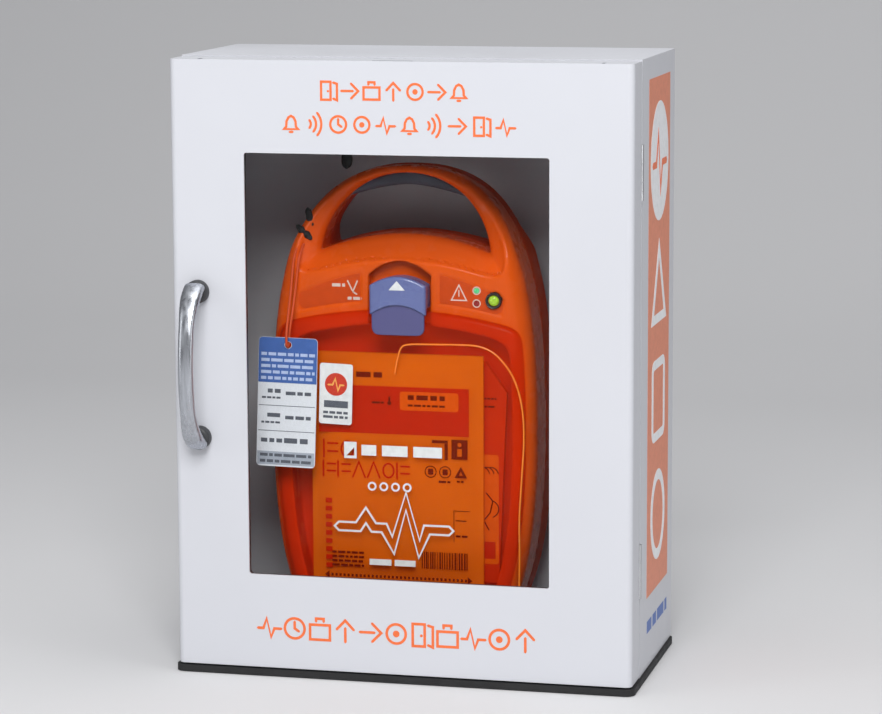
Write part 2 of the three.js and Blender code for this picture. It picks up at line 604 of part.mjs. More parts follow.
addCase();
hinge.heights.forEach((z, index) => addHinge(['lower', 'upper'][index], z));
addDoor();
addHandle();
addAlarm();
addBracket();
addShells();
addHandleGrip();
addControls();
addLid();
addLatch();
addPouches();
addTag();

const extent = new THREE.Box3().setFromObject(station);
const middle = extent.getCenter(new THREE.Vector3());
station.position.set(-middle.x, -middle.y, -extent.min.z);

export default station;
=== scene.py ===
"""Looks of a wall cabinet with a portable defibrillator in it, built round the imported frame.

Lengths are in millimetres in the drawing's own frame: x from the cabinet's middle, y back from the door's
front face, z up from the cabinet's underside. place() turns them into the row frame's metres.
"""

import json
import math
import random

import bmesh
import bpy
import numpy as np
from mathutils import Matrix, Vector


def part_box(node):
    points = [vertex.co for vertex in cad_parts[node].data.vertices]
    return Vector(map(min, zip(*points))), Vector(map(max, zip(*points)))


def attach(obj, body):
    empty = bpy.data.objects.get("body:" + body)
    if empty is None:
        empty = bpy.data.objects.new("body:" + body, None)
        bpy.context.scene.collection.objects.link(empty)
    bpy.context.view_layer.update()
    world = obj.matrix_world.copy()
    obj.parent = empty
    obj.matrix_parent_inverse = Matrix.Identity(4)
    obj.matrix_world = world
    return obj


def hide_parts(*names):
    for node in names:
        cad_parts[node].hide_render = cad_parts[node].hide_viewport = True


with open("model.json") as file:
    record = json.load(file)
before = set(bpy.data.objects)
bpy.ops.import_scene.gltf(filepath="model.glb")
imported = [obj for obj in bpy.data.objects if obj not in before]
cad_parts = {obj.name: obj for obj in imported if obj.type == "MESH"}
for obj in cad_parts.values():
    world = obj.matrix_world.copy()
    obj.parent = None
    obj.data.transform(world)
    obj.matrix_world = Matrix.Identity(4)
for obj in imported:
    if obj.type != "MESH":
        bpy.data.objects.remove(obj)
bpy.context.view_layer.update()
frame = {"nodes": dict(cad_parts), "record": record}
random.seed(7)

MM = 0.001
FACE_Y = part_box("door_panel")[0].y
BASE_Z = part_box("case_shell")[0].z

# ---------------------------------------------------------------- driving dimensions

CABINET = {"half": 171.0, "height": 450.0, "back": 168.0, "door": 30.0, "corner": 5.0}
HANDLE = {"x": -151.0, "low": 172.0, "high": 280.0, "front": -36.0}
UNIT = {
    "x": -17.5, "front": 70.0, "split": 112.0, "back": 150.0,
    "base": 20.0, "half": 102.0, "top": 365.0, "wall": 3.0,
}
OPENING = {"half": 65.0, "corner": 302.0, "crown": 315.0, "rim": 360.0}
LID = {
    "front": 60.0, "back": 69.6, "wall": 2.2, "inset": 6.0, "bottom": 34.0, "shoulder": 248.0, "crown": 261.0,
}
LATCH = {"half": 21.6, "shift": 1.5}
TRAY = {"floor": 88.0, "inset": 17.0}
POCKET = {"half": 24.0, "bottom": 236.0, "top": 297.0, "floor": 81.0}
LENS = {"u": 71.5, "z": 269.3}
LAMPS = {"u": 58.5, "heights": (276.4, 266.9)}
POUCH = {"low": (-85.4, 52.4), "high": (46.4, 227.8), "middle": 69.5, "puff": 4.6, "room": 4.3}
TAG = {
    "x": -100.0, "y": 56.4, "top": 239.0, "width": 45.5, "height": 97.0,
    "hole": 233.5, "lean": 1.0, "tilt": 3.5,
}
CORD_RADIUS = 0.95

CAMERA = {"at": (0.5737, -2.2688, 0.6001), "yaw": 13.837, "pitch": -8.957, "roll": -0.255, "lens": 130.54}


def place(points):
    """Points of the drawing, as row-frame metres."""
    return np.asarray(points, float) * MM + np.array([0.0, FACE_Y, BASE_Z])


# ---------------------------------------------------------------- camera


def add_camera():
    yaw, pitch, roll = (math.radians(CAMERA[k]) for k in ("yaw", "pitch", "roll"))
    right = Vector((math.cos(yaw), math.sin(yaw), 0))
    ahead = Vector((-math.sin(yaw) * math.cos(pitch), math.cos(yaw) * math.cos(pitch), math.sin(pitch)))
    up = right.cross(ahead)
    right2 = right * math.cos(roll) + up * math.sin(roll)
    up2 = up * math.cos(roll) - right * math.sin(roll)
    data = bpy.data.cameras.new("camera")
    data.sensor_width = 36
    data.lens = CAMERA["lens"]
    data.clip_start = 0.05
    camera = bpy.data.objects.new("camera", data)
    turn = Matrix((right2, up2, -ahead)).transposed().to_4x4()
    camera.matrix_world = Matrix.Translation(CAMERA["at"]) @ turn
    bpy.context.scene.collection.objects.link(camera)
    bpy.context.scene.camera = camera


# ---------------------------------------------------------------- material nodes


class Finish:
    """A node material, with short calls for the nodes that the finishes share."""

    def __init__(self, name):
        self.material = bpy.data.materials.new(name)
        self.material.use_nodes = True
        self.tree = self.material.node_tree
        self.tree.nodes.clear()
        self.out = self.node("ShaderNodeOutputMaterial")
        self.where = self.node("ShaderNodeTexCoord").outputs["Object"]

    def node(self, kind, **settings):
        made = self.tree.nodes.new(kind)
        for key, value in settings.items():
            setattr(made, key, value)
        return made

    def link(self, source, target):
        self.tree.links.new(source, target)

    def scaled(self, scale):
        """Object coordinates, stretched by (x, y, z) factors."""
        mapping = self.node("ShaderNodeMapping")
        mapping.inputs["Scale"].default_value = scale
        self.link(self.where, mapping.inputs["Vector"])
        return mapping.outputs["Vector"]

    def noise(self, scale, detail=3, stretch=(1, 1, 1), rough=0.5):
        made = self.node("ShaderNodeTexNoise")
        made.inputs["Scale"].default_value = scale
        made.inputs["Detail"].default_value = detail
        made.inputs["Roughness"].default_value = rough
        self.link(self.scaled(stretch), made.inputs["Vector"])
        return made.outputs["Fac"]

    def ramp(self, source, stops):
        """A colour ramp from (position, colour) stops."""
        made = self.node("ShaderNodeValToRGB")
        elements = made.color_ramp.elements
        while len(elements) < len(stops):
            elements.new(0.5)
        for element, (position, colour) in zip(elements, stops):
            element.position = position
            element.color = (*colour, 1) if len(colour) == 3 else colour
        self.link(source, made.inputs["Fac"])
        return made.outputs["Color"]

    def spread(self, source, low, high):
        """The source, from about 0.3..0.7, mapped to low..high."""
        made = self.node("ShaderNodeMapRange")
        made.inputs["From Min"].default_value = 0.3
        made.inputs["From Max"].default_value = 0.7
        made.inputs["To Min"].default_value = low
        made.inputs["To Max"].default_value = high
        self.link(source, made.inputs["Value"])
        return made.outputs["Result"]

    def bump(self, source, depth, under=None):
        made = self.node("ShaderNodeBump")
        made.inputs["Strength"].default_value = 1.0
        made.inputs["Distance"].default_value = depth * MM
        self.link(source, made.inputs["Height"])
        if under:
            self.link(under, made.inputs["Normal"])
        return made.outputs["Normal"]

    def surface(self, colour, rough, normal=None, **inputs):
        shader = self.node("ShaderNodeBsdfPrincipled")
        self.link(colour, shader.inputs["Base Color"])
        if isinstance(rough, (int, float)):
            shader.inputs["Roughness"].default_value = rough
        else:
            self.link(rough, shader.inputs["Roughness"])
        if normal:
            self.link(normal, shader.inputs["Normal"])
        for key, value in inputs.items():
            shader.inputs[key.replace("_", " ")].default_value = value
        return shader

    def done(self, shader):
        self.link(shader.outputs[0], self.out.inputs["Surface"])
        return self.material


def shade(colour, factor):
    return tuple(min(1.0, c * factor) for c in colour)


def moulded(name, colour, rough=0.3, grain=900, depth=0.02, vary=0.08, coat=0.0, **inputs):
    """Moulded plastic: slow tone drift, a fine grain and a little uneven gloss."""
    f = Finish(name)
    tone = f.ramp(f.noise(18, 4), [(0.3, shade(colour, 1 - vary)), (0.7, shade(colour, 1 + vary))])
    gloss = f.spread(f.noise(60, 3), rough * 0.85, rough * 1.2)
    relief = f.bump(f.noise(grain, 2), depth)
    return f.done(f.surface(tone, gloss, relief, Coat_Weight=coat, Coat_Roughness=0.08, **inputs))


def painted(name, colour, rough=0.45):
    """Powder coat on steel: orange peel in two sizes, and faint hand marks in the gloss."""
    f = Finish(name)
    tone = f.ramp(f.noise(5, 4), [(0.3, shade(colour, 0.975)), (0.7, shade(colour, 1.01))])
    gloss = f.spread(f.noise(9, 5, rough=0.65), rough * 0.8, rough * 1.25)
    peel = f.bump(f.noise(420, 2), 0.012, f.bump(f.noise(70, 2), 0.03))
    return f.done(f.surface(tone, gloss, peel, Coat_Weight=0.1, Coat_Roughness=0.2))


def brushed(name, colour, stretch, rough=0.28):
    """Bare or plated metal, with long fine scratches along one direction."""
    f = Finish(name)
    lines = f.noise(700, 3, stretch)
    tone = f.ramp(lines, [(0.3, shade(colour, 0.82)), (0.7, shade(colour, 1.08))])
    gloss = f.spread(f.noise(300, 3, stretch), rough * 0.7, rough * 1.4)
    return f.done(f.surface(tone, gloss, f.bump(lines, 0.008), Metallic=1.0))


def rubbery(name, colour, rough=0.75, grain=1400):
    f = Finish(name)
    tone = f.ramp(f.noise(30, 5), [(0.3, shade(colour, 0.75)), (0.7, shade(colour, 1.35))])
    cells = f.node("ShaderNodeTexVoronoi", feature="F1")
    cells.inputs["Scale"].default_value = grain
    f.link(f.where, cells.inputs["Vector"])
    gloss = f.spread(f.noise(80), rough * 0.85, rough * 1.1)
    return f.done(f.surface(tone, gloss, f.bump(cells.outputs[0], 0.04)))


def foam(name, colour):
    f = Finish(name)
    cells = f.node("ShaderNodeTexVoronoi", feature="F1")
    cells.inputs["Scale"].default_value = 700
    f.link(f.where, cells.inputs["Vector"])
    tone = f.ramp(cells.outputs[0], [(0.1, shade(colour, 0.5)), (0.5, shade(colour, 1.2))])
    return f.done(f.surface(tone, 0.95, f.bump(cells.outputs[0], 0.3)))


def see_through(name, tint, cover, colour, rough=0.05, grain=0.0):
    """A clear or tinted sheet: light passes in the tint, and the rest is a glossy film of the colour."""
    f = Finish(name)
    clear = f.node("ShaderNodeBsdfTransparent")
    clear.inputs["Color"].default_value = (*tint, 1)
    tone = f.ramp(f.noise(14, 3), [(0.3, shade(colour, 0.9)), (0.7, shade(colour, 1.1))])
    relief = f.bump(f.noise(40, 2), grain) if grain else None
    gloss = f.surface(tone, f.spread(f.noise(25, 3), rough * 0.8, rough * 1.3), relief)
    mix = f.node("ShaderNodeMixShader")
    mix.inputs["Fac"].default_value = cover
    f.link(clear.outputs[0], mix.inputs[1])
    f.link(gloss.outputs[0], mix.inputs[2])
    return f.done(mix)


def printed(name, colour, rough=0.4):
    """Screen-print ink, a little thin in places."""
    f = Finish(name)
    tone = f.ramp(f.noise(260, 4), [(0.25, shade(colour, 0.88)), (0.6, colour)])
    return f.done(f.surface(tone, rough, f.bump(f.noise(1500, 2), 0.006), Specular_IOR_Level=0.2))


def card_stock(name, colour):
    """Plastic-coated card with a faint fibre."""
    f = Finish(name)
    fibre = f.noise(900, 5, (1, 1, 0.35))
    tone = f.ramp(fibre, [(0.3, shade(colour, 0.94)), (0.7, shade(colour, 1.02))])
    return f.done(f.surface(tone, f.spread(f.noise(50), 0.35, 0.5), f.bump(fibre, 0.01)))


def twisted(name, colour):
    """Cord of twisted strands: slanting bands across its length."""
    f = Finish(name)
    bands = f.node("ShaderNodeTexWave", bands_direction="DIAGONAL")
    bands.inputs["Scale"].default_value = 420
    bands.inputs["Distortion"].default_value = 1.2
    f.link(f.where, bands.inputs["Vector"])
    tone = f.ramp(bands.outputs["Fac"], [(0.2, shade(colour, 0.7)), (0.8, shade(colour, 1.15))])
    return f.done(f.surface(tone, 0.5, f.bump(bands.outputs["Fac"], 0.12)))


def glowing(name, colour, strength):
    """A lit lens: moulded cells in front of a lamp."""
    f = Finish(name)
    cells = f.noise(700, 2)
    tone = f.ramp(cells, [(0.3, shade(colour, 0.7)), (0.7, shade(colour, 1.1))])
    shader = f.surface(tone, 0.15, f.bump(cells, 0.02), Emission_Strength=strength)
    f.link(tone, shader.inputs["Emission Color"])
    return f.done(shader)


def board(name):
    """Circuit board: green lacquer with tracks and tinned pads."""
    f = Finish(name)
    tracks = f.node("ShaderNodeTexBrick")
    tracks.inputs["Scale"].default_value = 60
    tracks.inputs["Color1"].default_value = (0.02, 0.16, 0.06, 1)
    tracks.inputs["Color2"].default_value = (0.03, 0.22, 0.08, 1)
    tracks.inputs["Mortar"].default_value = (0.12, 0.35, 0.12, 1)
    f.link(f.scaled((1, 0, 1)), tracks.inputs["Vector"])
    return f.done(f.surface(tracks.outputs["Color"], 0.35, f.bump(f.noise(500), 0.03)))


def foil_print(name, colour, dark):
    """Laminated foil: soft wrinkles, a light sheen and faint show-through."""
    f = Finish(name)
    tone = f.ramp(f.noise(24, 5, rough=0.6), [(0.25, shade(colour, 0.86)), (0.75, shade(colour, 1.1))])
    folds = f.bump(f.noise(45, 4, (1, 1, 0.6)), 0.5, f.bump(f.noise(240, 3), 0.05))
    return f.done(f.surface(tone, f.spread(f.noise(70), dark, dark + 0.15), folds, Coat_Weight=0.3))


FINISHES = {
    "white_paint": painted("white_paint", (0.575, 0.585, 0.625)),
    "black_rubber": rubbery("black_rubber", (0.010, 0.010, 0.011)),
    "steel": brushed("steel", (0.60, 0.61, 0.63), (1, 1, 0.05)),
    "silver_plastic": brushed("silver_plastic", (0.50, 0.52, 0.56), (1, 1, 0.04), 0.3),
    "dark_plastic": moulded("dark_plastic", (0.030, 0.031, 0.034), 0.45),
    "foam": foam("foam", (0.06, 0.06, 0.065)),
    "clear_pane": see_through("clear_pane", (0.985, 0.99, 0.985), 0.03, (0.02, 0.022, 0.022), 0.04),
    "orange_plastic": moulded(
        "orange_plastic", (0.80, 0.100, 0.006), 0.26, 700, 0.012, 0.06, 0.08, Specular_IOR_Level=0.15,
    ),
    # painted shade: a darker copy of the orange plastic, standing in for the shade on the unit's side and back
    "shaded_orange_plastic": moulded(
        "shaded_orange_plastic", (0.62, 0.055, 0.005), 0.5, 700, 0.012, 0.06, Specular_IOR_Level=0.06,
    ),
    "red_lens": see_through("red_lens", (1.0, 0.74, 0.28), 0.12, (0.62, 0.030, 0.004), 0.16, 0.02),
    "blue_plastic": moulded("blue_plastic", (0.135, 0.165, 0.39), 0.28, 800, 0.012, 0.06, 0.3),
    # painted shade: a darker copy of the blue plastic for the latch's recessed thumb plate
    "thumb_plastic": moulded("thumb_plastic", (0.095, 0.09, 0.24), 0.4, 800, 0.012, 0.06, 0.1),
    "grip_rubber": rubbery("grip_rubber", (0.070, 0.082, 0.115), 0.6, 900),
    "orange_foil": foil_print("orange_foil", (0.97, 0.60, 0.11), 0.3),
    "red_foil": foil_print("red_foil", (0.72, 0.075, 0.03), 0.3),
    "white_plastic": moulded("white_plastic", (0.72, 0.73, 0.75), 0.35),
    "tag_card": card_stock("tag_card", (0.80, 0.825, 0.89)),
    "tag_cord": twisted("tag_cord", (0.74, 0.085, 0.014)),
    "green_lamp": glowing("green_lamp", (0.10, 0.55, 0.22), 0.4),
    "red_lamp": glowing("red_lamp", (0.30, 0.012, 0.012), 0.1),
    "amber_plastic": moulded("amber_plastic", (0.85, 0.36, 0.02), 0.3),
    "circuit_board": board("circuit_board"),
    "status_glow": glowing("status_glow", (0.34, 0.56, 0.04), 0.45),
    # painted highlight: a bright orange for the thin line of light along the lid's crease
    "rib_plastic": moulded("rib_plastic", (0.95, 0.24, 0.02), 0.25, 700, 0.01),
}
INKS = {
    "orange_ink": printed("orange_ink", (0.82, 0.17, 0.055)),
    "salmon_ink": printed("salmon_ink", (0.74, 0.24, 0.13)),
    "white_ink": printed("white_ink", (0.85, 0.86, 0.88)),
    "pale_ink": printed("pale_ink", (0.80, 0.62, 0.55)),
    "dark_ink": printed("dark_ink", (0.075, 0.012, 0.006)),
    "grey_ink": printed("grey_ink", (0.12, 0.13, 0.16)),
    "blue_ink": printed("blue_ink", (0.07, 0.15, 0.45)),
    "red_ink": printed("red_ink", (0.66, 0.055, 0.03)),
    "panel_ink": printed("panel_ink", (0.66, 0.070, 0.005), 0.4),
    "label_ink": printed("label_ink", (0.97, 0.46, 0.12)),
    "pale_blue_ink": printed("pale_blue_ink", (0.50, 0.60, 0.86)),
    "foot_ink": printed("foot_ink", (0.42, 0.46, 0.54)),
}


# ---------------------------------------------------------------- outlines, as lists of (a, b) points


def bezier(p0, p1, p2, p3, count):
    """Points of a cubic curve, from just after its start to its end."""
    t = np.arange(1, count + 1)[:, None] / count
    p0, p1, p2, p3 = map(np.array, (p0, p1, p2, p3))
    return (1 - t) ** 3 * p0 + 3 * (1 - t) ** 2 * t * p1 + 3 * (1 - t) * t * t * p2 + t**3 * p3


def mirrored(right):
    """A closed outline from its right half, which runs from the bottom up."""
    right = [tuple(p) for p in right]
    left = [(-a, b) for a, b in reversed(right) if a > 0.01]
    return right + left


def unit_side(low_count, high_count):
    """The unit's right side, in two curves that meet at its widest."""
    half, base, top = UNIT["half"], UNIT["base"], UNIT["top"]
    low = bezier((66, base), (91, base + 2), (half, 95), (half, 160), low_count)
    high = bezier((half, 160), (half + 1.5, 285), (86, top + 2), (0, top), high_count)
    return [*low, *high]


def unit_outline():
    return mirrored([(66.0, UNIT["base"]), *unit_side(16, 30)])


def opening_outline():
    half, corner, top = OPENING["half"], OPENING["corner"], OPENING["rim"]
    side = bezier((half, corner), (half - 2, 330), (38, top), (0, top), 20)
    crown = OPENING["crown"]
    sill = [(a, crown - (crown - corner) * (a / half) ** 2) for a in np.linspace(0, half, 14)]
    return mirrored([*sill, *side])


def arched(half, bottom, shoulder, crown, corner=0.0):
    """Flat-bottomed, with a parabola for its top."""
    steps = np.linspace(1, 0, 14)
    top = [(half * s, crown - (crown - shoulder) * s * s) for s in steps]
    return mirrored([(0.0, bottom), (half - corner, bottom), (half, bottom + corner), *top])


def rectangle(a0, a1, b0, b1, corner=0.0, sides=5):
    if corner <= 0:
        return [(a0, b0), (a1, b0), (a1, b1), (a0, b1)]
    points = []
    centres = [(a1 - corner, b0 + corner, -90), (a1 - corner, b1 - corner, 0),
               (a0 + corner, b1 - corner, 90), (a0 + corner, b0 + corner, 180)]
    for a, b, start in centres:
        for i in range(sides + 1):
            angle = math.radians(start + 90 * i / sides)
            points.append((a + corner * math.cos(angle), b + corner * math.sin(angle)))
    return points


def ellipse(a, b, ra, rb=None, sides=32):
    rb = ra if rb is None else rb
    return [(a + ra * math.cos(2 * math.pi * i / sides), b + rb * math.sin(2 * math.pi * i / sides))
            for i in range(sides)]


def arc(a, b, radius, start, end, sides=10):
    angles = np.radians(np.linspace(start, end, sides + 1))
    return [(a + radius * math.cos(t), b + radius * math.sin(t)) for t in angles]


def full_turn(sides):
    return np.linspace(0, 2 * math.pi, sides, endpoint=False)


def stroke(path, width, closed=False):
    """The loops round a line of that width: one for an open line, two for a closed one."""
    p = np.array(path, float)
    if closed:
        ahead = np.roll(p, -1, 0) - p
    else:
        ahead = np.vstack([p[1:] - p[:-1], p[-1:] - p[-2:-1]])
    ahead /= np.linalg.norm(ahead, axis=1)[:, None]
    before = np.roll(ahead, 1, 0)
    if not closed:
        before[0] = ahead[0]
    mean = ahead + before
    mean /= np.maximum(np.linalg.norm(mean, axis=1)[:, None], 1e-6)
    normal = np.stack([-mean[:, 1], mean[:, 0]], 1)
    reach = 1 / np.clip((mean * ahead).sum(1), 0.5, 1)
    side = normal * (reach * width / 2)[:, None]
    if closed:
        return [[tuple(q) for q in p + side], [tuple(q) for q in p - side]]
    ends = [ahead[-1] * width / 2, ahead[0] * -width / 2]
    loop = [*(p + side), p[-1] + ends[0], *(p - side)[::-1], p[0] + ends[1]]
    return [[tuple(q) for q in loop]]


# ---------------------------------------------------------------- meshes


def finish_mesh(name, points, faces, finish, body, slot, crease=32.0):
    """A piece from drawing points and faces, with its edges sharp above the crease angle."""
    mesh = bpy.data.meshes.new(name)
    mesh.from_pydata([tuple(p) for p in place(points)], [], [list(map(int, f)) for f in faces])
    mesh.validate()
    work = bmesh.new()
    work.from_mesh(mesh)
    bmesh.ops.remove_doubles(work, verts=work.verts, dist=1e-6)
    bmesh.ops.recalc_face_normals(work, faces=work.faces)
    limit = math.radians(crease)
    for face in work.faces:
        face.smooth = True
    for edge in work.edges:
        edge.smooth = len(edge.link_faces) == 2 and edge.calc_face_angle(0) < limit
    work.to_mesh(mesh)
    work.free()
    piece = bpy.data.objects.new(name, mesh)
    bpy.context.scene.collection.objects.link(piece)
    mesh.materials.append(FINISHES.get(finish) or INKS[finish])
    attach(piece, body)
    return piece


def filled(loops, low, high, bevel=0.0):
    """Points (a, b, depth) and faces of a plate with those loops, from depth low to high."""
    data = bpy.data.curves.new("outline", "CURVE")
    data.dimensions = "2D"
    data.fill_mode = "BOTH"
    for loop in loops:
        spline = data.splines.new("POLY")
        spline.points.add(len(loop) - 1)
        for point, (a, b) in zip(spline.points, loop):
            point.co = (a, b, 0, 1)
        spline.use_cyclic_u = True
    data.extrude = (high - low) / 2 - bevel
    data.bevel_depth = bevel
    data.bevel_resolution = 3
    data.offset = -bevel
    holder = bpy.data.objects.new("outline", data)
    bpy.context.scene.collection.objects.link(holder)
    mesh = bpy.data.meshes.new_from_object(holder.evaluated_get(bpy.context.evaluated_depsgraph_get()))
    points = np.array([v.co for v in mesh.vertices]).reshape(-1, 3)
    points[:, 2] += (low + high) / 2
    faces = [tuple(p.vertices) for p in mesh.polygons]
    bpy.data.objects.remove(holder)
    bpy.data.curves.remove(data)
    bpy.data.meshes.remove(mesh)
    return points, faces


def facing_front(points):
    """(a, b, depth) to (x, y, z), with depth running back."""
    return np.stack([points[:, 0], points[:, 2], points[:, 1]], 1)


def facing_side(points):
    """(a, b, depth) to (x, y, z): a runs back, and depth runs out to the right."""
    return np.stack([points[:, 2], points[:, 0], points[:, 1]], 1)


def facing_up(points):
    """(a, b, depth) is (x, y, z) already: b runs back, and depth runs up."""
    return points


def plate(name, shapes, low, high, finish, body, slot, turn=facing_front, bevel=0.0, move=None, crease=32.0):
    """Flat pieces in one mesh. Each shape is a list of loops, the later ones holes in the first."""
    points, faces = [], []
    total = 0
    for loops in shapes:
        p, f = filled(loops, low, high, bevel)
        faces += [tuple(i + total for i in face) for face in f]
        total += len(p)
        points.append(p)
    points = turn(np.concatenate(points))
    if move:
        points = move(points)
    return finish_mesh(name, points, faces, finish, body, slot, crease)


def smooth_line(points, per_span=8):
    """A Catmull-Rom line through the points."""
    p = np.array(points, float)
    p = np.vstack([2 * p[0] - p[1], p, 2 * p[-1] - p[-2]])
    out = []
    for i in range(1, len(p) - 2):
        for t in np.arange(per_span) / per_span:
            a, b, c, d = p[i - 1 : i + 3]
            bend = (2 * a - 5 * b + 4 * c - d) * t**2 + (3 * b - a - 3 * c + d) * t**3
            out.append(0.5 * (2 * b + (c - a) * t + bend))
    out.append(p[-2])
    return np.array(out)


def lofted(rings):
    """Points and faces of a skin over rings of (x, y, z) points, closed at both ends."""
    n = len(rings[0])
    last = (len(rings) - 1) * n
    faces = []
    for near in range(0, last, n):
        far = near + n
        faces += [(near + k, near + (k + 1) % n, far + (k + 1) % n, far + k) for k in range(n)]
    faces += [tuple(range(n)), tuple(range(last, last + n))]
    return np.array(rings, float).reshape(-1, 3), faces


def swept(path, sections):
    """A skin along the path. sections holds one ring of (a, b) points for each point of the path."""
    path = np.array(path, float)
    ahead = np.gradient(path, axis=0)
    ahead /= np.linalg.norm(ahead, axis=1)[:, None]
    side = np.cross(ahead[0], (0.31, 0.22, 0.93))
    rings = []
    for centre, along, section in zip(path, ahead, sections):
        side = side - along * side.dot(along)
        side /= np.linalg.norm(side)
        up = np.cross(along, side)
        rings.append([centre + a * side + b * up for a, b in section])
    return lofted(rings)


def turned(profile, centre, sides=48):
    """A profile of (radius, y) spun about the y axis through centre (x, z)."""
    angles = [2 * math.pi * i / sides for i in range(sides)]
    return lofted([
        [(centre[0] + radius * math.cos(t), y, centre[1] + radius * math.sin(t)) for t in angles]
        for radius, y in profile
    ])


# ---------------------------------------------------------------- solids from distance fields


def distance_map(outline, spacing=0.8, margin=16.0):
    """A function giving the signed distance, in mm, from a closed outline: below zero inside it."""
    outline = np.array(outline, float)
    low = outline.min(0) - margin
    counts = np.ceil((outline.max(0) + margin - low) / spacing).astype(int) + 2
    a = (low[0] + spacing * np.arange(counts[0]))[:, None]
    b = (low[1] + spacing * np.arange(counts[1]))[None, :]
    best = np.full(counts, 1e9)
    within = np.zeros(counts, bool)
    for (a0, b0), (a1, b1) in zip(outline, np.roll(outline, -1, 0)):
        da, db = a1 - a0, b1 - b0
        if da == db == 0:
            continue
        t = np.clip(((a - a0) * da + (b - b0) * db) / (da * da + db * db), 0, 1)
        best = np.minimum(best, (a - a0 - t * da) ** 2 + (b - b0 - t * db) ** 2)
        if db:
            crosses = (b0 > b) != (b1 > b)
            within ^= crosses & (a < a0 + (b - b0) * da / db)
    signed = np.sqrt(best) * np.where(within, -1, 1)

    def look_up(a, b):
        i = np.clip((a - low[0]) / spacing, 0, counts[0] - 1.001)
        j = np.clip((b - low[1]) / spacing, 0, counts[1] - 1.001)
        i0, j0 = i.astype(int), j.astype(int)
        s, t = i - i0, j - j0
        near = signed[i0, j0] * (1 - t) + signed[i0, j0 + 1] * t
        far = signed[i0 + 1, j0] * (1 - t) + signed[i0 + 1, j0 + 1] * t
        return near * (1 - s) + far * s

    return look_up


def both(a, b, radius):
    """Where both fields are below zero, with the edge between them rounded."""
    corner = np.hypot(np.maximum(a + radius, 0), np.maximum(b + radius, 0))
    return np.minimum(-radius, np.maximum(a, b)) + corner


def step_up(t):
    t = np.clip(t, 0, 1)
    return t * t * (3 - 2 * t)


def skin(field, low, high, step, passes=2):
    """Points and quads of the surface where field(x, y, z) is zero."""
    counts = [int(math.ceil((h - l) / step)) + 1 for l, h in zip(low, high)]
    axes = [l + step * np.arange(n) for l, n in zip(low, counts)]
    x, y, z = np.meshgrid(*axes, indexing="ij", sparse=True)
    values = np.broadcast_to(field(x, y, z), counts).astype(np.float32)
    inside = values < 0
    total = np.zeros([n - 1 for n in counts], np.int8)
    corners = [(i, j, k) for i in (0, 1) for j in (0, 1) for k in (0, 1)]
    for i, j, k in corners:
        total += inside[i : counts[0] - 1 + i, j : counts[1] - 1 + j, k : counts[2] - 1 + k]
    cells = np.argwhere((total > 0) & (total < 8))
    number = np.full(total.shape, -1, np.int32)
    number[tuple(cells.T)] = np.arange(len(cells))
    points = np.zeros((len(cells), 3))
    hits = np.zeros(len(cells))
    for c in corners:
        for axis in range(3):
            if c[axis]:
                continue
            d = list(c)
            d[axis] = 1
            va = values[tuple((cells + c).T)]
            vb = values[tuple((cells + d).T)]
            cut = (va < 0) != (vb < 0)
            t = np.where(cut, va / np.where(cut, va - vb, 1), 0)
            where = np.array(c, float) + np.outer(t, np.array(d) - np.array(c))
            points += where * cut[:, None]
            hits += cut
    points = np.array(low) + step * (cells + points / hits[:, None])
    nudge = 0.15
    for _ in range(3):
        here = field(*points.T)
        slope = np.stack([
            (field(*(points + nudge * e).T) - field(*(points - nudge * e).T)) / (2 * nudge) for e in np.eye(3)
        ], 1)
        size = np.maximum((slope**2).sum(1), 0.2)
        move = -(here / size)[:, None] * slope
        far = np.linalg.norm(move, axis=1)
        points += move * np.minimum(1, 0.5 * step / np.maximum(far, 1e-9))[:, None]
    quads = []
    for axis in range(3):
        others = [k for k in range(3) if k != axis]
        span = [slice(0, n) for n in counts]
        span[axis] = slice(0, counts[axis] - 1)
        ahead = [slice(0, n) for n in counts]
        ahead[axis] = slice(1, counts[axis])
        changes = np.argwhere(inside[tuple(span)] != inside[tuple(ahead)])
        keep = np.all([(changes[:, k] > 0) & (changes[:, k] < counts[k] - 1) for k in others], axis=0)
        changes = changes[keep]
        ring = []
        for da, db in ((1, 1), (0, 1), (0, 0), (1, 0)):
            cell = changes.copy()
            cell[:, others[0]] -= da
            cell[:, others[1]] -= db
            ring.append(number[tuple(cell.T)])
        quads.append(np.stack(ring, 1))
    quads = np.concatenate(quads)
    return relaxed(points, quads, passes), quads


def relaxed(points, quads, passes):
    """Each point is drawn half way to the mean of its neighbours, and then a little back out."""
    ends = np.concatenate([quads[:, [i, (i + 1) % 4]] for i in range(4)])
    count = np.bincount(ends[:, 0], minlength=len(points))[:, None]
    for share in (0.5, -0.52) * passes:
        mean = np.stack([np.bincount(ends[:, 0], points[ends[:, 1], k], len(points)) for k in range(3)], 1)
        points = points + share * (mean / np.maximum(count, 1) - points)
    return points


# ---------------------------------------------------------------- the unit's shells

body_edge = distance_map(unit_outline())
hand_edge = distance_map(opening_outline())


def lean(z):
    """How far back the unit's front stands at height z: upright below, leaning back up the handle."""
    return UNIT["front"] + 17 * step_up((z - 292) / 55) + 5 * step_up((z - 330) / 35)


dish_edge = distance_map(mirrored([
    (0.0, 295), (14, 294.7), (28, 293.5), (42, 291), (54, 288), (64, 285.6), (72, 284.8), (78, 286.5),
    (81.5, 291.5), (82, 299), (80.5, 309), (77, 318), (70, 330), (62, 341), (48, 352), (24, 361), (0.0, 363),
]))


def front_depth(u, z):
    """The unit's front surface: flat, with a dish sloping in to the hand opening."""
    sunk = np.maximum(-dish_edge(u, z), 0)
    slope = 0.95 - 0.45 * step_up((z - 300) / 40)
    return lean(z) + 20 * np.tanh(sunk * slope / 20) * step_up(sunk / 5)


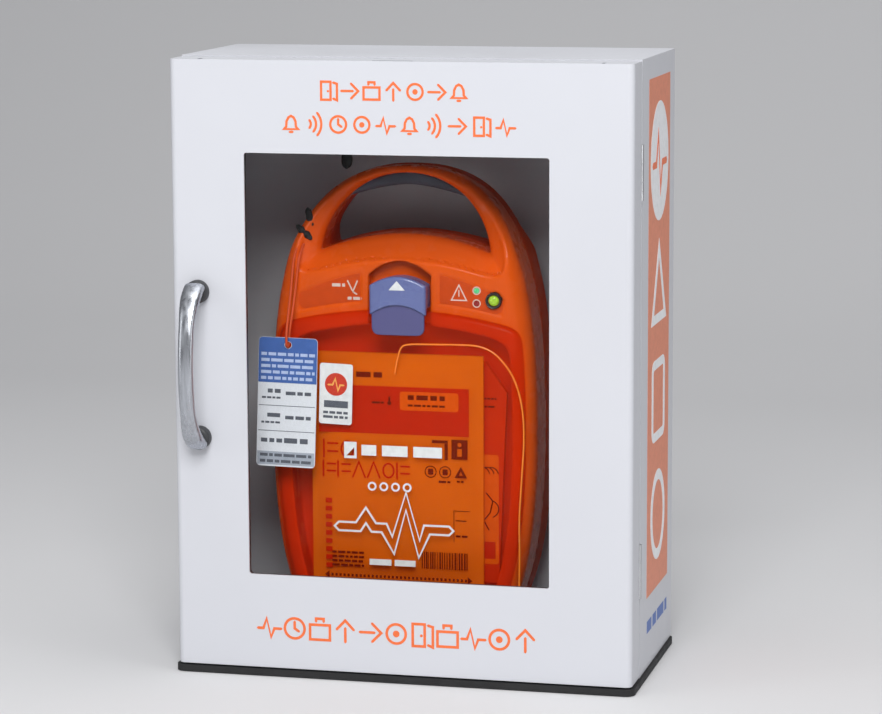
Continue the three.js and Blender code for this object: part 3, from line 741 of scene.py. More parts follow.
def add_front_shell():
    wall, front, split = UNIT["wall"], UNIT["front"], UNIT["split"] - 0.15
    band = distance_map(arched(80, 248, 271, 291.5))
    under_band = distance_map(arched(95, 200, 252, 266))
    tray_edge = distance_map(lid_outline(TRAY["inset"] - LID["inset"]))
    pocket = distance_map(arched(POCKET["half"], POCKET["bottom"], 286, POCKET["top"], 2))

    def solid(u, y, z):
        side = body_edge(u, z)
        ahead = front_depth(u, z) - y
        radius = 13 - 5 * step_up((z - 285) / 30)
        shape = both(side, ahead, radius)
        shape = both(shape, -hand_edge(u, z), 4.5)
        shape = np.maximum(shape, -both(tray_edge(u, z), y - TRAY["floor"], 2))
        return np.maximum(shape, -both(pocket(u, z), y - POCKET["floor"], 1.5))

    def shell(x, y, z):
        u = x - UNIT["x"]
        whole = solid(u, y, z)
        hollow = np.maximum(whole, -(whole + wall))
        hollow = np.maximum(hollow, y - split)
        panels = np.maximum(np.maximum(band(u, z), -under_band(u, z)), 28.5 - np.abs(u))
        panels = both(panels + 0.6, y - front - 0.9, 0.5)
        holes = np.minimum(
            np.hypot(u - 34, z - 160) - 13.3,
            np.hypot(u - LENS["u"], z - LENS["z"]) - 6.3,
        )
        return np.maximum(np.maximum(hollow, -panels), -holes)

    points, quads = skin(shell, (-121, 66, 18), (86, 114, 367), 1.3)
    piece = finish_mesh("front_shell_skin", points, quads, "orange_plastic", "unit", "orange_plastic", 48)
    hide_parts("unit_front_shell")


def add_rear_shell():
    wall, back, split = UNIT["wall"], UNIT["back"], UNIT["split"] + 0.15

    def shell(x, y, z):
        u = x - UNIT["x"]
        behind = y - back + 18 * step_up((z - 296) / 26)
        shape = both(body_edge(u, z), behind, 13 - 5 * step_up((z - 285) / 30))
        shape = both(shape, -hand_edge(u, z), 4.5)
        hollow = np.maximum(np.maximum(shape, -(shape + wall)), split - y)
        bay = np.maximum(np.maximum(np.abs(u) - 42, np.abs(z - 85) - 45), 119 - y)
        return np.maximum(hollow, -bay)

    points, quads = skin(shell, (-121, 111, 18), (86, 152, 367), 2.0)
    # the rear shell takes the darker copy of the orange plastic as painted shade
    piece = finish_mesh("rear_shell_skin", points, quads, "shaded_orange_plastic", "unit", "orange_plastic", 48)
    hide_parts("unit_rear_shell")


def lid_outline(inset):
    """The unit's own sides, drawn in, under an arch with rounded shoulders."""
    move = LID["inset"] + inset
    line = np.vstack(unit_side(24, 60))
    ahead = np.gradient(line, axis=0)
    ahead /= np.linalg.norm(ahead, axis=1)[:, None]
    line = line + np.stack([-ahead[:, 1], ahead[:, 0]], 1) * move
    floor = LID["bottom"] + inset
    crown = LID["crown"] - inset
    round_over = 14
    sides = [p for p in line if floor + 3 < p[1] < LID["shoulder"] - inset - round_over]
    edge = sides[-1][0]

    def arch(a):
        return crown - (LID["crown"] - LID["shoulder"]) * (a / edge) ** 2

    shoulder = bezier(
        sides[-1], (edge - 0.4, arch(edge) - 3), (edge - 3, arch(edge) + 0.5),
        (edge - round_over, arch(edge - round_over)), 6,
    )
    top_line = [(a, arch(a)) for a in np.linspace(edge - round_over, 0, 12)[1:]]
    return mirrored([(0.0, floor), (sides[0][0] - 6, floor), *sides, *shoulder, *top_line])


def add_lid():
    edge = distance_map(lid_outline(0))
    front, back, wall = LID["front"], LID["back"], LID["wall"]

    def shell(x, y, z):
        u = x - UNIT["x"]
        side = edge(u, z)
        bow = 4.5 * step_up((side + 15) / 15) ** 1.3 * step_up((252 - z) / 30)
        ahead = front + bow - y
        outer = both(side, ahead, 3.5)
        notch = np.maximum(np.abs(u) - 16, 252 - z)
        return np.maximum(np.maximum(np.maximum(outer, -(outer + wall)), y - back), -notch)

    points, quads = skin(shell, (-117, 57, 30), (82, 72, 264), 1.1)
    piece = finish_mesh("lid_skin", points, quads, "red_lens", "lid", "red_lens", 50)
    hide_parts("lid_shell")


# ---------------------------------------------------------------- latch and grip


def add_latch():
    """The latch: a proud head with an arched lower edge, over a thumb plate behind it, coloured darker than the
    head as painted shade.
    """
    centre = UNIT["x"] + LATCH["shift"]
    half = LATCH["half"]
    head_top = distance_map(arched(half, 240, 280, 287, 3))
    thumb_edge = distance_map(rectangle(1.5 - half, half - 1.5, 243, 268, 5.5))

    def head(x, y, z):
        u = x - centre
        swell = 1.2 * (u / half) ** 2
        lip = 265.5 - 8 * (u / half) ** 2 - z
        front = both(both(head_top(u, z), 55.6 + swell - y, 2.2), lip, 1.6)
        rear = np.maximum(np.maximum(head_top(u, z) + 0.6, 263.0 - z), 59.5 - y)
        front = np.maximum(front, y - 59.7)
        return np.maximum(np.minimum(front, rear), y - 73.5)

    def thumb(x, y, z):
        u = x - centre
        face = both(thumb_edge(u, z), 57.9 + 0.4 * (u / half) ** 2 - y, 0.7)
        face = np.maximum(face, y - 59.5)
        web = np.maximum(np.abs(x - UNIT["x"]) - 14, np.abs(y - 64.5) - 6.5)
        web = np.maximum(web, np.abs(z - 261.5) - 6.5)
        return np.minimum(face, web)

    low, high = (-40, 54, 241), (8, 76, 290)
    top_piece = finish_mesh(
        "latch_head", *skin(head, low, high, 0.6, 1), "blue_plastic", "latch", "blue_plastic", 46,
    )
    # the thumb plate takes the darker blue as painted shade under the head
    finish_mesh("latch_thumb", *skin(thumb, low, high, 0.6, 1), "thumb_plastic", "latch", "blue_plastic", 46)
    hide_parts("latch_slider")
    arrow = [(centre - 6.2, 277.0), (centre + 6.2, 277.0), (centre, 284.0)]
    plate("latch_arrow", [[arrow]], 55.3, 55.7, "white_ink", "latch", "blue_plastic")


def add_grip():
    """The rubber grip: a crescent that hangs under the handle's rim."""
    half = 56
    count = 40
    rings = []
    for i in range(count + 1):
        u = half * (2 * i / count - 1)
        s = abs(u) / half
        top = 361.5 - 21.5 * s**1.9
        low = top - 9.5 * (1 - s**2.6) - 1.2
        thick = (top - low) / 2
        ring = rectangle(-14, 14, -thick, thick, min(3.5, thick * 0.9), 4)
        rings.append([(UNIT["x"] + u, 113 + a, (top + low) / 2 + b) for a, b in ring])
    piece = finish_mesh("grip_crescent", *lofted(rings), "grip_rubber", "unit", "grip_rubber", 60)
    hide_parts("handle_grip")


# ---------------------------------------------------------------- control band


def band_panel(start, end, trim):
    """One control panel's outline between the band's two arcs, with its outer end rounded."""
    def top(u):
        return 291.5 - 20.5 * (u / 80) ** 2 - trim

    def low(u):
        return 266 - 14 * (u / 95) ** 2 + trim

    us = np.linspace(start, end, 14)
    lower = [(u, low(u)) for u in us]
    upper = [(u, top(u)) for u in us[::-1]]
    middle = (top(end) + low(end)) / 2
    reach = (top(end) - low(end)) / 2
    half_turn = np.linspace(-math.pi / 2, math.pi / 2, 9)[1:-1]
    nose = [(end + 5.5 * math.cos(t), middle + reach * math.sin(t)) for t in half_turn]
    return lower + nose + upper


def shifted(points, move=(0, 0), flip=False):
    return [(move[0] + (-a if flip else a), move[1] + b) for a, b in points]


def add_band():
    x = UNIT["x"]
    panel = band_panel(30.5, 73, 1.6)
    shapes = [[shifted(panel, (x, 0))], [shifted(panel, (x, 0), True)]]
    plate("control_panels", shapes, 70.55, 71.1, "panel_ink", "unit", "orange_plastic")
    outline = [(21.9, 268.9), (33.3, 268.9), (27.6, 280.2)]
    marks = [stroke(outline, 0.9, True), stroke([(27.6, 271.8), (27.6, 276.4)], 0.8)]
    marks += bars(-69.5, -59.5, 279.0, 1, 2.4, 3) + bars(-57.5, -48, 269.2, 1, 2.2, 3)
    marks += [[rectangle(-47.0, -43.6, 267.4, 268.8)]]
    marks.append(stroke([(-57.5, 281.2), (-53.5, 273.2), (-50.0, 281.2)], 1.1))
    marks.append(stroke([(-53.5, 273.0), (-50.5, 271.2)], 1.1))
    for z in LAMPS["heights"]:
        marks.append([ellipse(x + LAMPS["u"], z, 3.1), ellipse(x + LAMPS["u"], z, 2.4)])
    plate("control_marks", marks, 70.25, 70.6, "pale_ink", "unit", "orange_plastic")
    centre = (x + LENS["u"], LENS["z"])
    lens = turned([(0.05, 68.2), (2.2, 68.5), (3.7, 69.7), (4.1, 71.5), (4.1, 75)], centre)
    dome = finish_mesh("status_dome", *lens, "status_glow", "unit", "green_lamp", 60)
    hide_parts("status_lens")
    ring = [(4.2, 75.5), (4.2, 69.3), (4.6, 68.3), (5.5, 68.0), (6.1, 68.8), (6.1, 75.5)]
    bezel = finish_mesh("status_ring", *turned(ring, centre), "dark_plastic", "unit", "dark_plastic", 50)
    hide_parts("status_bezel")


# ---------------------------------------------------------------- the pouches behind the lid


def add_pouch():
    """A sealed foil pouch, blown up a little by its pads: two sheets joined at the seams."""
    low, high = POUCH["low"], POUCH["high"]
    cols, rows = 54, 72
    points, faces = [], []
    for side in (-1, 1):
        for j in range(rows + 1):
            for i in range(cols + 1):
                a = low[0] + (high[0] - low[0]) * i / cols
                b = low[1] + (high[1] - low[1]) * j / rows
                points.append((a, POUCH["middle"] + side * 0.25, b))
    layer = (cols + 1) * (rows + 1)

    def corner(i, j, k):
        return k * layer + j * (cols + 1) + i

    for j in range(rows):
        for i in range(cols):
            faces.append((corner(i, j, 0), corner(i + 1, j, 0), corner(i + 1, j + 1, 0), corner(i, j + 1, 0)))
            faces.append((corner(i, j, 1), corner(i, j + 1, 1), corner(i + 1, j + 1, 1), corner(i + 1, j, 1)))
    for i in range(cols):
        faces.append((corner(i, 0, 0), corner(i, 0, 1), corner(i + 1, 0, 1), corner(i + 1, 0, 0)))
        faces.append((corner(i, rows, 0), corner(i + 1, rows, 0), corner(i + 1, rows, 1), corner(i, rows, 1)))
    for j in range(rows):
        faces.append((corner(0, j, 0), corner(0, j + 1, 0), corner(0, j + 1, 1), corner(0, j, 1)))
        faces.append((corner(cols, j, 0), corner(cols, j, 1), corner(cols, j + 1, 1), corner(cols, j + 1, 0)))

    piece = finish_mesh("pads_pouch_foil", points, faces, "orange_foil", "unit", "orange_foil", 80)
    blow_up(piece, low, high)
    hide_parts("pads_pouch")


def blow_up(piece, low, high):
    """Presses the pouch's sheets apart as cloth, with the seams held, and keeps it between lid and tray."""
    seam = piece.vertex_groups.new(name="seam")
    inner_low = place([(low[0] + 5, 0, low[1] + 5)])[0]
    inner_high = place([(high[0] - 5, 0, high[1] - 6)])[0]
    for v in piece.data.vertices:
        inside = inner_low[0] < v.co.x < inner_high[0] and inner_low[2] < v.co.z < inner_high[2]
        if not inside:
            seam.add([v.index], 1.0, "REPLACE")
    cloth = piece.modifiers.new("cloth", "CLOTH")
    settings = cloth.settings
    settings.quality = 4
    settings.mass = 0.05
    settings.tension_stiffness = 12
    settings.compression_stiffness = 4
    settings.shear_stiffness = 4
    settings.bending_stiffness = 0.02
    settings.use_pressure = True
    settings.uniform_pressure_force = 3.0
    settings.vertex_group_mass = "seam"
    settings.effector_weights.gravity = 0
    frames = 16
    cloth.point_cache.frame_end = frames
    scene = bpy.context.scene
    for number in range(1, frames + 1):
        scene.frame_set(number)
    evaluated = piece.evaluated_get(bpy.context.evaluated_depsgraph_get())
    settled = np.array([v.co for v in evaluated.data.vertices])
    piece.modifiers.remove(cloth)
    piece.vertex_groups.clear()
    scene.frame_set(1)
    middle = FACE_Y + POUCH["middle"] * MM
    away = settled[:, 1] - middle
    reach = max(np.percentile(np.abs(away), 60), 1e-6)
    room = POUCH["room"] * MM
    settled[:, 1] = middle + np.clip(away * (POUCH["puff"] * MM / reach), -room, room)
    piece.data.vertices.foreach_set("co", settled.ravel())
    piece.data.update()


def bars(a0, a1, top, count, height, pitch):
    """Rows of short bars, standing in for lines of print."""
    shapes = []
    for row in range(count):
        z = top - row * pitch
        a = a0
        while a < a1 - 1:
            width = min(random.uniform(height * 1.2, height * 4), a1 - a)
            shapes.append([rectangle(a, a + width, z - height, z)])
            a += width + height * 0.55
    return shapes


def add_pouch_print():
    """The pouch's coloured bands, label and generic marks, on its flat front."""
    front = 64.9

    def ink(name, shapes, finish, lift=0.0):
        plate(name, shapes, front - lift - 0.12, front - lift, finish, "unit", "orange_foil")

    ink("pouch_band", [[rectangle(-79, 36.2, 167.5, 203.5)]], "red_ink")
    ink("pouch_label", [[rectangle(-16.5, 28.3, 186, 200, 2)]], "label_ink", 0.15)
    marks = bars(-10.4, 18, 197.6, 1, 3.6, 4) + bars(-10.4, 18, 190.6, 1, 1.6, 3)
    marks += bars(-50, -30, 214, 1, 4.0, 5) + bars(-38, -28, 192, 1, 1.6, 3)
    marks += [[ellipse(-24.5, 191, 1.6)], [rectangle(-25.2, -23.8, 191, 196)]]
    marks.append([
        rectangle(22.9, 35.2, 150.4, 165.2), rectangle(27.2, 30.8, 152.6, 158.5), ellipse(29, 161.4, 1.6),
    ])
    marks += [[rectangle(7.9, 20.1, 162.2, 164.4)], [rectangle(17.6, 20.1, 149.6, 162.0)]]
    for a in (6.9, 18.0):
        marks.append([ellipse(a, 140.4, 4.6), ellipse(a, 140.4, 3.9)])
        marks.append([rectangle(a - 2, a + 2, 138.2, 142.6, 1)])
    marks.append([[(25.2, 136.4), (34.8, 136.4), (30, 145.0)], [(28.6, 138.2), (31.4, 138.2), (30, 141.6)]])
    marks += bars(13, 22, 133.8, 1, 1.6, 3) + bars(27, 33, 134.4, 1, 1.4, 3)
    marks += bars(-69.7, -45, 77, 4, 1.7, 3.3)
    a = -0.3
    while a < 35.5:
        width = random.choice((0.5, 0.8, 1.2))
        marks.append([rectangle(a, a + width, 66.5, 79.4)])
        a += width + random.choice((0.5, 0.7, 1.0))
    for i in range(34):
        a = -70.5 + i * 3.13
        marks.append([rectangle(a, a + 1.7, 57.6, 59.6)])
    marks += [[[(-75.5, 58.6), (-72, 61.4), (-72, 55.8)]], [[(38.6, 58.6), (35.0, 61.4), (35.0, 55.8)]]]
    marks += [stroke([(24.6, 87.6), (24.6, 111.4), (36.8, 111.4)], 0.5), stroke([(26, 104), (34, 104)], 0.8)]
    marks += bars(26, 35, 93, 1, 1.6, 3)
    ink("pouch_marks", marks, "dark_ink", 0.3)
    faint = []
    for row, (z, height, a0, a1) in enumerate(((148.2, 13.5, -75.5, -56.0), (133.8, 12.0, -76.0, -4.0))):
        a = a0
        while a < a1 - 4:
            faint += stroke_glyph(a, z, height * 0.8, height, row + int(a))
            a += height * 0.95
    for i in range(9):
        faint.append([rectangle(-74.5, -69.5, 64 + i * 6.2, 67.6 + i * 6.2)])
    ink("pouch_faint", faint, "red_ink", 0.2)


def stroke_glyph(a, z, width, height, pick):
    """A small abstract pictogram of bars and rings, about width by height."""
    line = 1.4
    upper, lower = z + height * 0.8, z + height * 0.35
    middle = (a + width / 2, z + height / 2)
    kinds = (
        [stroke([(a, z), (a, z + height)], line), stroke([(a + 3, upper), (a + width, upper)], line),
         stroke([(a + 3, lower), (a + width, lower)], line)],
        [[ellipse(*middle, width / 2, height / 2, 20),
          ellipse(*middle, width / 2 - line, height / 2 - line, 20)]],
        [stroke([(a, z), (a + width / 2, z + height), (a + width, z)], line)],
    )
    return kinds[pick % len(kinds)]


def add_spare():
    """The second pouch, seen past the first: a paler block with a line drawing."""
    front = 74.9

    def ink(name, shapes, finish):
        plate(name, shapes, front - 0.3, front - 0.15, finish, "unit", "red_foil")

    block = [[rectangle(33, 56.5, 70, 153, 2)]]
    plate("spare_block", block, front - 0.12, front, "label_ink", "unit", "red_foil")
    lines = [stroke(arc(44 + 3.4 * i, 138, 5.5, 100, 10, 8), 0.9) for i in range(3)]
    lines.append(stroke([(47, 124), (52, 118), (50, 109), (45, 103), (49, 96)], 1.0))
    lines.append(stroke(arc(50, 112, 6.5, -70, 80, 8), 0.9))
    lines += bars(38, 55, 196, 2, 1.4, 6)
    ink("spare_lines", lines, "dark_ink")
    ink("spare_strip", [[rectangle(36, 54, 74, 87)]], "red_ink")


# ---------------------------------------------------------------- on the lid


def add_lid_marks():
    """Generic marks on the lid: a hollow pulse trace, bars and a sticker, none of them lettering."""
    front, base, lift = LID["front"] - 0.22, LID["front"] + 0.05, 0.15

    def ink(name, shapes, finish, layer=0, move=None):
        high = front - (layer - 1) * lift if layer else base
        plate(name, shapes, front - layer * lift, high, finish, "lid", "red_lens", move=move)

    pulse = [
        (-63, 97), (-48, 97), (-42, 106), (-36, 97), (-28, 97),
        (-21, 84), (-11, 118), (-1, 82), (5, 97), (22, 97),
    ]
    ribbon = stroke(pulse, 6.6)[0]
    shapes = [stroke(ribbon, 1.5, True)]
    shapes += [[ellipse(a, 128.4, 3.4, 3.4, 20), ellipse(a, 128.4, 2.0, 2.0, 20)] for a in (-37, -28, -19, -10)]
    shapes += [[rectangle(-58.4, -48.8, 149, 161.5), [(-56.6, 151), (-50.6, 151), (-50.6, 157.5)]]]
    shapes += bars(-45, 18, 159.6, 1, 8.0, 9)
    shapes += bars(-39.4, -2.4, 73, 1, 4.6, 6)
    ink("lid_marks", shapes, "white_ink")

    lean = math.radians(1.7)
    centre = np.array([-64.4, 0, 197.3])

    def tilt(points):
        x = points[:, 0] * math.cos(lean) + points[:, 2] * math.sin(lean)
        z = points[:, 2] * math.cos(lean) - points[:, 0] * math.sin(lean)
        return np.stack([x, points[:, 1], z], 1) + centre

    ink("sticker_card", [[rectangle(-12.7, 12.7, -22.9, 22.9, 2)]], "white_ink", 0, tilt)
    ink("sticker_disc", [[ellipse(0, 7.2, 8.6)]], "red_ink", 1, tilt)
    wave = stroke([(-6, 6.8), (-2.6, 6.8), (-0.6, 11.5), (1.6, 2.5), (3.2, 6.8), (6, 6.8)], 1.3)
    ink("sticker_wave", [wave], "label_ink", 2, tilt)
    rows = bars(-9, 9.5, -5.2, 1, 5.2, 6) + bars(-9.5, 9.5, -13.2, 2, 1.9, 3.4)
    ink("sticker_rows", rows, "grey_ink", 1, tilt)


def add_lid_highlight_line():
    """A thin tube along the line where the lid's front starts to curve, ringing its right half, coloured bright
    orange as a painted highlight.
    """
    line = smooth_line([
        (-19.0, 214), (-17.2, 224), (-14.0, 233.5), (-8, 236.2), (8, 236.8), (28, 237.1), (43.7, 236.6),
        (55.8, 232.0), (66.4, 221.2), (73.2, 208.0), (77.4, 190.2), (78.6, 167.7), (76.9, 137.5), (75.2, 107.1),
        (75.4, 79.9), (75.0, 56),
    ], 5)
    path = np.array([(a, LID["front"] + 0.35 + max(0.0, (a - 66) * 0.10), b) for a, b in line])
    radius = 0.75
    ring = [(radius * math.cos(t), radius * math.sin(t)) for t in full_turn(10)]
    finish_mesh("lid_highlight_line", *swept(path, [ring] * len(path)), "rib_plastic", "lid", "red_lens", 80)


# ---------------------------------------------------------------- tag and cord


def tag_turn(points):
    """Card coordinates, from the hole, to the drawing: tilted to the front at its foot, then leant."""
    tilt, lean = math.radians(TAG["tilt"]), math.radians(TAG["lean"])
    depth = points[:, 1] * math.cos(tilt) + points[:, 2] * math.sin(tilt)
    down = points[:, 2] * math.cos(tilt) - points[:, 1] * math.sin(tilt)
    x = points[:, 0] * math.cos(lean) + down * math.sin(lean)
    z = -points[:, 0] * math.sin(lean) + down * math.cos(lean)
    return np.stack([x + TAG["x"], depth + TAG["y"], z + TAG["hole"]], 1)


def add_tag():
    """The card: blank, a blue head, three ruled rows and a grey foot, all measured from its hole."""
    half, top = TAG["width"] / 2, TAG["top"] - TAG["hole"]
    low, split = top - TAG["height"], top - 34

    def ink(name, shapes, finish, front, back=0.05):
        return plate(name, shapes, front, back, finish, "tag", "tag_card", move=tag_turn)

    blank = [rectangle(-half, half, low, top, 3), ellipse(0, 0, 2.6, 2.6, 20)]
    card = ink("tag_blank", [blank], "tag_card", 0.05, 0.75)
    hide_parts("tag_card")
    crown = [p for p in rectangle(-half + 0.2, half - 0.2, split, top - 0.2, 2.8) if p[1] > split + 5]
    blue = [(-half + 0.2, split), (half - 0.2, split), *crown]
    ink("tag_blue", [[blue, ellipse(0, 0, 2.9, 2.9, 20)]], "blue_ink", -0.08)
    ink("tag_blue_lines", bars(-20.5, 21, top - 11.5, 5, 2.3, 4.5), "pale_blue_ink", -0.16, -0.08)
    rules = [[rectangle(-half + 1, half - 1, z, z + 0.45)] for z in (split - 17.5, split - 36.5)]
    for z, drop in ((split - 4.8, 5.8), (split - 23.0, 6.2)):
        rules += bars(-15, -5, z, 1, 3.0, 4) + bars(-1, 19, z - 1.6, 1, 2.6, 4)
        rules += bars(-19.5, -5, z - drop, 1, 1.5, 4)
    rules += bars(-19.5, -3, split - 42, 1, 3.0, 4) + bars(-1.5, 19.5, split - 41.4, 1, 3.8, 4)
    ink("tag_rules", rules, "grey_ink", -0.08)
    ink("tag_foot", [[rectangle(-half + 0.6, half - 0.6, low + 1.2, low + 11.2)]], "foot_ink", -0.06)
    ink("tag_foot_lines", bars(-20, 20, low + 9.6, 2, 2.2, 4.6), "grey_ink", -0.14, -0.06)


def add_strap_tip():
    """The end of a black strap that hangs behind the window's head."""
    rings = []
    for t in np.linspace(0, 1, 18):
        wide = 1.8 + 2.5 * step_up((t - 0.45) / 0.25)
        if t > 0.8:
            wide *= math.sqrt(max(1 - ((t - 0.8) / 0.2) ** 2, 0.01))
        x, y, z = -60.2, 80 + 2 * math.sin(3 * t), 393.7 - 30.2 * t
        rings.append([(x + wide * math.sin(a), y + 1.3 * math.cos(a), z) for a in full_turn(20)])
    finish_mesh("strap_tip", *lofted(rings), "black_rubber", "cabinet", "black_rubber", 60)


def add_cord():
    """The tag's doubled cord: down from the ties, through the card's hole, and back up."""
    line = smooth_line([
        (-97.2, 77.2, 307), (-98.2, 69.4, 299), (-98.9, 66.8, 289), (-99.4, 62.6, 272), (-99.9, 56.2, 254),
        (-100, 52.8, 244), (-100, 51.9, 238), (-100, 52.5, 234.6), (-100, 54.4, 232.5), (-100, 56.9, 232.6),
        (-100, 58.4, 234.8), (-100, 58.8, 238.4), (-99.2, 58.8, 246), (-97.6, 60.6, 258), (-96.4, 64.6, 274),
        (-95.2, 67.2, 289), (-94.2, 69.4, 299), (-93.2, 77.2, 307),
    ], 10)
    data = bpy.data.curves.new("tag_cord_line", "CURVE")
    data.dimensions = "3D"
    spline = data.splines.new("POLY")
    spline.points.add(len(line) - 1)
    for point, co in zip(spline.points, place(line)):
        point.co = (*co, 1)
    data.bevel_depth = CORD_RADIUS * MM
    data.bevel_resolution = 4
    data.use_fill_caps = True
    data.materials.append(FINISHES["tag_cord"])
    piece = bpy.data.objects.new("tag_cord_line", data)
    bpy.context.scene.collection.objects.link(piece)
    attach(piece, "tag_lead")
    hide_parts("tag_cord")


def add_ties():
    """Two short cable ties, thickest in the middle, each turned by its own angle from upright."""
    ties = (("upper", (-90, 84, 326), 14.3), ("lower", (-93.5, 80, 315.5), 48.7))
    for name, centre, turn in ties:
        angle = math.radians(turn)
        along = np.array([-math.sin(angle), 0, math.cos(angle)])
        rings, path = [], []
        for t in np.linspace(-1, 1, 15):
            path.append(np.array(centre) + along * t * 8.0)
            radius = 2.75 * math.sqrt(max(1 - abs(t) ** 2.6, 0.02)) * (1 + 0.10 * math.sin(9 * t + turn))
            rings.append([(radius * math.cos(a), radius * math.sin(a)) for a in full_turn(20)])
        piece = finish_mesh(f"tie_{name}", *swept(path, rings), "black_rubber", "unit", "black_rubber", 80)
        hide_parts(f"cord_tie_{name}")


# ---------------------------------------------------------------- the cabinet's outside


def add_handle():
    """The bow handle: a strap that widens into round ends over its two feet."""
    x, low, high = HANDLE["x"], HANDLE["low"], HANDLE["high"]
    middle, half = (low + high) / 2, (high - low) / 2
    rise = [(-8.3, -4), (-12.5, -1.5), (-20, 5), (-27, 17), (-31, 34)]
    route = [(x, y, low + up) for y, up in rise] + [(x, -32.4, middle)]
    route += [(x, y, high - up) for y, up in reversed(rise)]
    line = smooth_line(route, 6)

    def squared(value):
        return math.copysign(abs(value) ** 0.75, value)

    rings = []
    for p in line:
        far = abs(p[2] - middle) / half
        wide = 5.6 + 2.0 * step_up((far - 0.55) / 0.5)
        deep = 3.3 + 0.6 * step_up((far - 0.6) / 0.4)
        rings.append([(wide * squared(math.cos(t)), deep * squared(math.sin(t))) for t in full_turn(28)])
    strap = ribbon_skin(line, rings)
    piece = finish_mesh("handle_strap", *strap, "silver_plastic", "door", "silver_plastic", 60)
    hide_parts("door_handle")
    for name, z in (("lower", low), ("upper", high)):
        profile = [(8.6, -0.3), (8.6, -5.6), (8.1, -6.8), (6.6, -7.7)]
        disc = turned(profile, (x, z))
        foot = finish_mesh(f"handle_disc_{name}", *disc, "dark_plastic", "door", "dark_plastic", 40)
        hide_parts(f"handle_foot_{name}")


def ribbon_skin(line, sections):
    """A strap in the plane of y and z: each ring's first axis is x, and its second lies across the line."""
    ahead = np.gradient(line, axis=0)
    ahead /= np.linalg.norm(ahead, axis=1)[:, None]
    right = np.array((1, 0, 0))
    rings = []
    for centre, along, section in zip(line, ahead, sections):
        across = np.cross(along, right)
        rings.append([centre + a * right + b * across for a, b in section])
    return lofted(rings)


def icon(kind, a, b, size, width):
    """Line pictograms about size by size, with their lower left corner at (a, b)."""

    def at(*points):
        return [(a + u * size, b + v * size) for u, v in points]

    def ring(u, v, radius):
        return [ellipse(a + u * size, b + v * size, radius * size + width / 2, sides=28),
                ellipse(a + u * size, b + v * size, radius * size - width / 2, sides=28)]

    drawings = {
        "door": lambda: [stroke(at((0.12, 0.04), (0.12, 0.96), (0.62, 0.96), (0.62, 0.04)), width, True),
                         stroke(at((0.76, 0.10), (0.96, 0.02), (0.96, 0.86), (0.76, 0.92)), width),
                         [ellipse(a + 0.48 * size, b + 0.48 * size, 0.06 * size, sides=16)]],
        "arrow": lambda: [stroke(at((0.04, 0.5), (0.66, 0.5)), width),
                          stroke(at((0.56, 0.88), (0.94, 0.5), (0.56, 0.12)), width)],
        "bell": lambda: [stroke(at((0.12, 0.22), (0.24, 0.34), (0.26, 0.62), (0.36, 0.82), (0.5, 0.9),
                                   (0.64, 0.82), (0.74, 0.62), (0.76, 0.34), (0.88, 0.22)), width, True),
                         stroke(at((0.42, 0.08), (0.58, 0.08)), width)],
        "waves": lambda: [
            stroke(arc(a, b + size / 2, r * size, -42, 42, 8), width) for r in (0.3, 0.58, 0.86)
        ],
        "clock": lambda: [ring(0.5, 0.5, 0.42), stroke(at((0.5, 0.78), (0.5, 0.5), (0.68, 0.38)), width)],
        "pulse": lambda: [stroke(at((0.0, 0.45), (0.24, 0.45), (0.38, 0.86), (0.56, 0.08), (0.70, 0.45),
                                    (1.0, 0.45)), width)],
        "box": lambda: [stroke(at((0.08, 0.08), (0.92, 0.08), (0.92, 0.70), (0.08, 0.70)), width, True),
                        stroke(at((0.34, 0.84), (0.34, 0.96), (0.66, 0.96), (0.66, 0.84)), width)],
        "ring": lambda: [ring(0.5, 0.5, 0.40), [ellipse(a + size / 2, b + size / 2, 0.14 * size, sides=20)]],
        "up": lambda: [stroke(at((0.5, 0.04), (0.5, 0.62)), width),
                       stroke(at((0.14, 0.56), (0.5, 0.94), (0.86, 0.56)), width)],
    }
    return drawings[kind]()


def icon_row(kinds, start, end, low, size, width):
    pitch = (end - start - size) / (len(kinds) - 1)
    shapes = []
    for i, kind in enumerate(kinds):
        shapes += icon(kind, start + i * pitch, low, size, width)
    return shapes


def add_door_print():
    """Rows of pictograms over and under the window: kinds, then where each row starts, ends and stands."""
    rows = (
        ("door arrow box up ring arrow bell", -58, 52, 420.5, 14, 1.75),
        ("bell waves clock ring pulse bell waves arrow door pulse", -86, 86, 396.5, 14, 1.75),
        ("pulse clock box up arrow ring door box pulse ring up", -109, 102, 22.5, 18, 2.0),
    )
    shapes = []
    for kinds, *layout in rows:
        shapes += icon_row(kinds.split(), *layout)
    plate("door_pictograms", shapes, -0.12, 0.02, "orange_ink", "door", "white_paint")


def add_side_print():
    x = CABINET["half"]

    def ink(name, shapes, finish, lift):
        plate(name, shapes, x + lift, x + lift + 0.12, finish, "cabinet", "white_paint", turn=facing_side)

    ink("side_panel_print", [[rectangle(60, 148, 53, 434)]], "salmon_ink", 0.0)
    ink("side_disc_print", [[ellipse(104, 372, 37, 44, 48)]], "white_ink", 0.12)
    pulse = stroke([(76, 370), (90, 370), (98, 392), (108, 350), (115, 370), (132, 370)], 5.0)
    ink("side_pulse_print", [pulse], "orange_ink", 0.24)
    shapes = [stroke([(78, 256), (104, 308), (130, 256)], 7, True),
              stroke(rectangle(80, 128, 168, 222, 6), 7, True),
              [ellipse(104, 108, 30, 34, 40), ellipse(104, 108, 22, 26, 40)]]
    ink("side_shapes_print", shapes, "white_ink", 0.12)
    ink("side_foot_print", bars(62, 146, 35, 1, 9, 10), "blue_ink", 0.0)


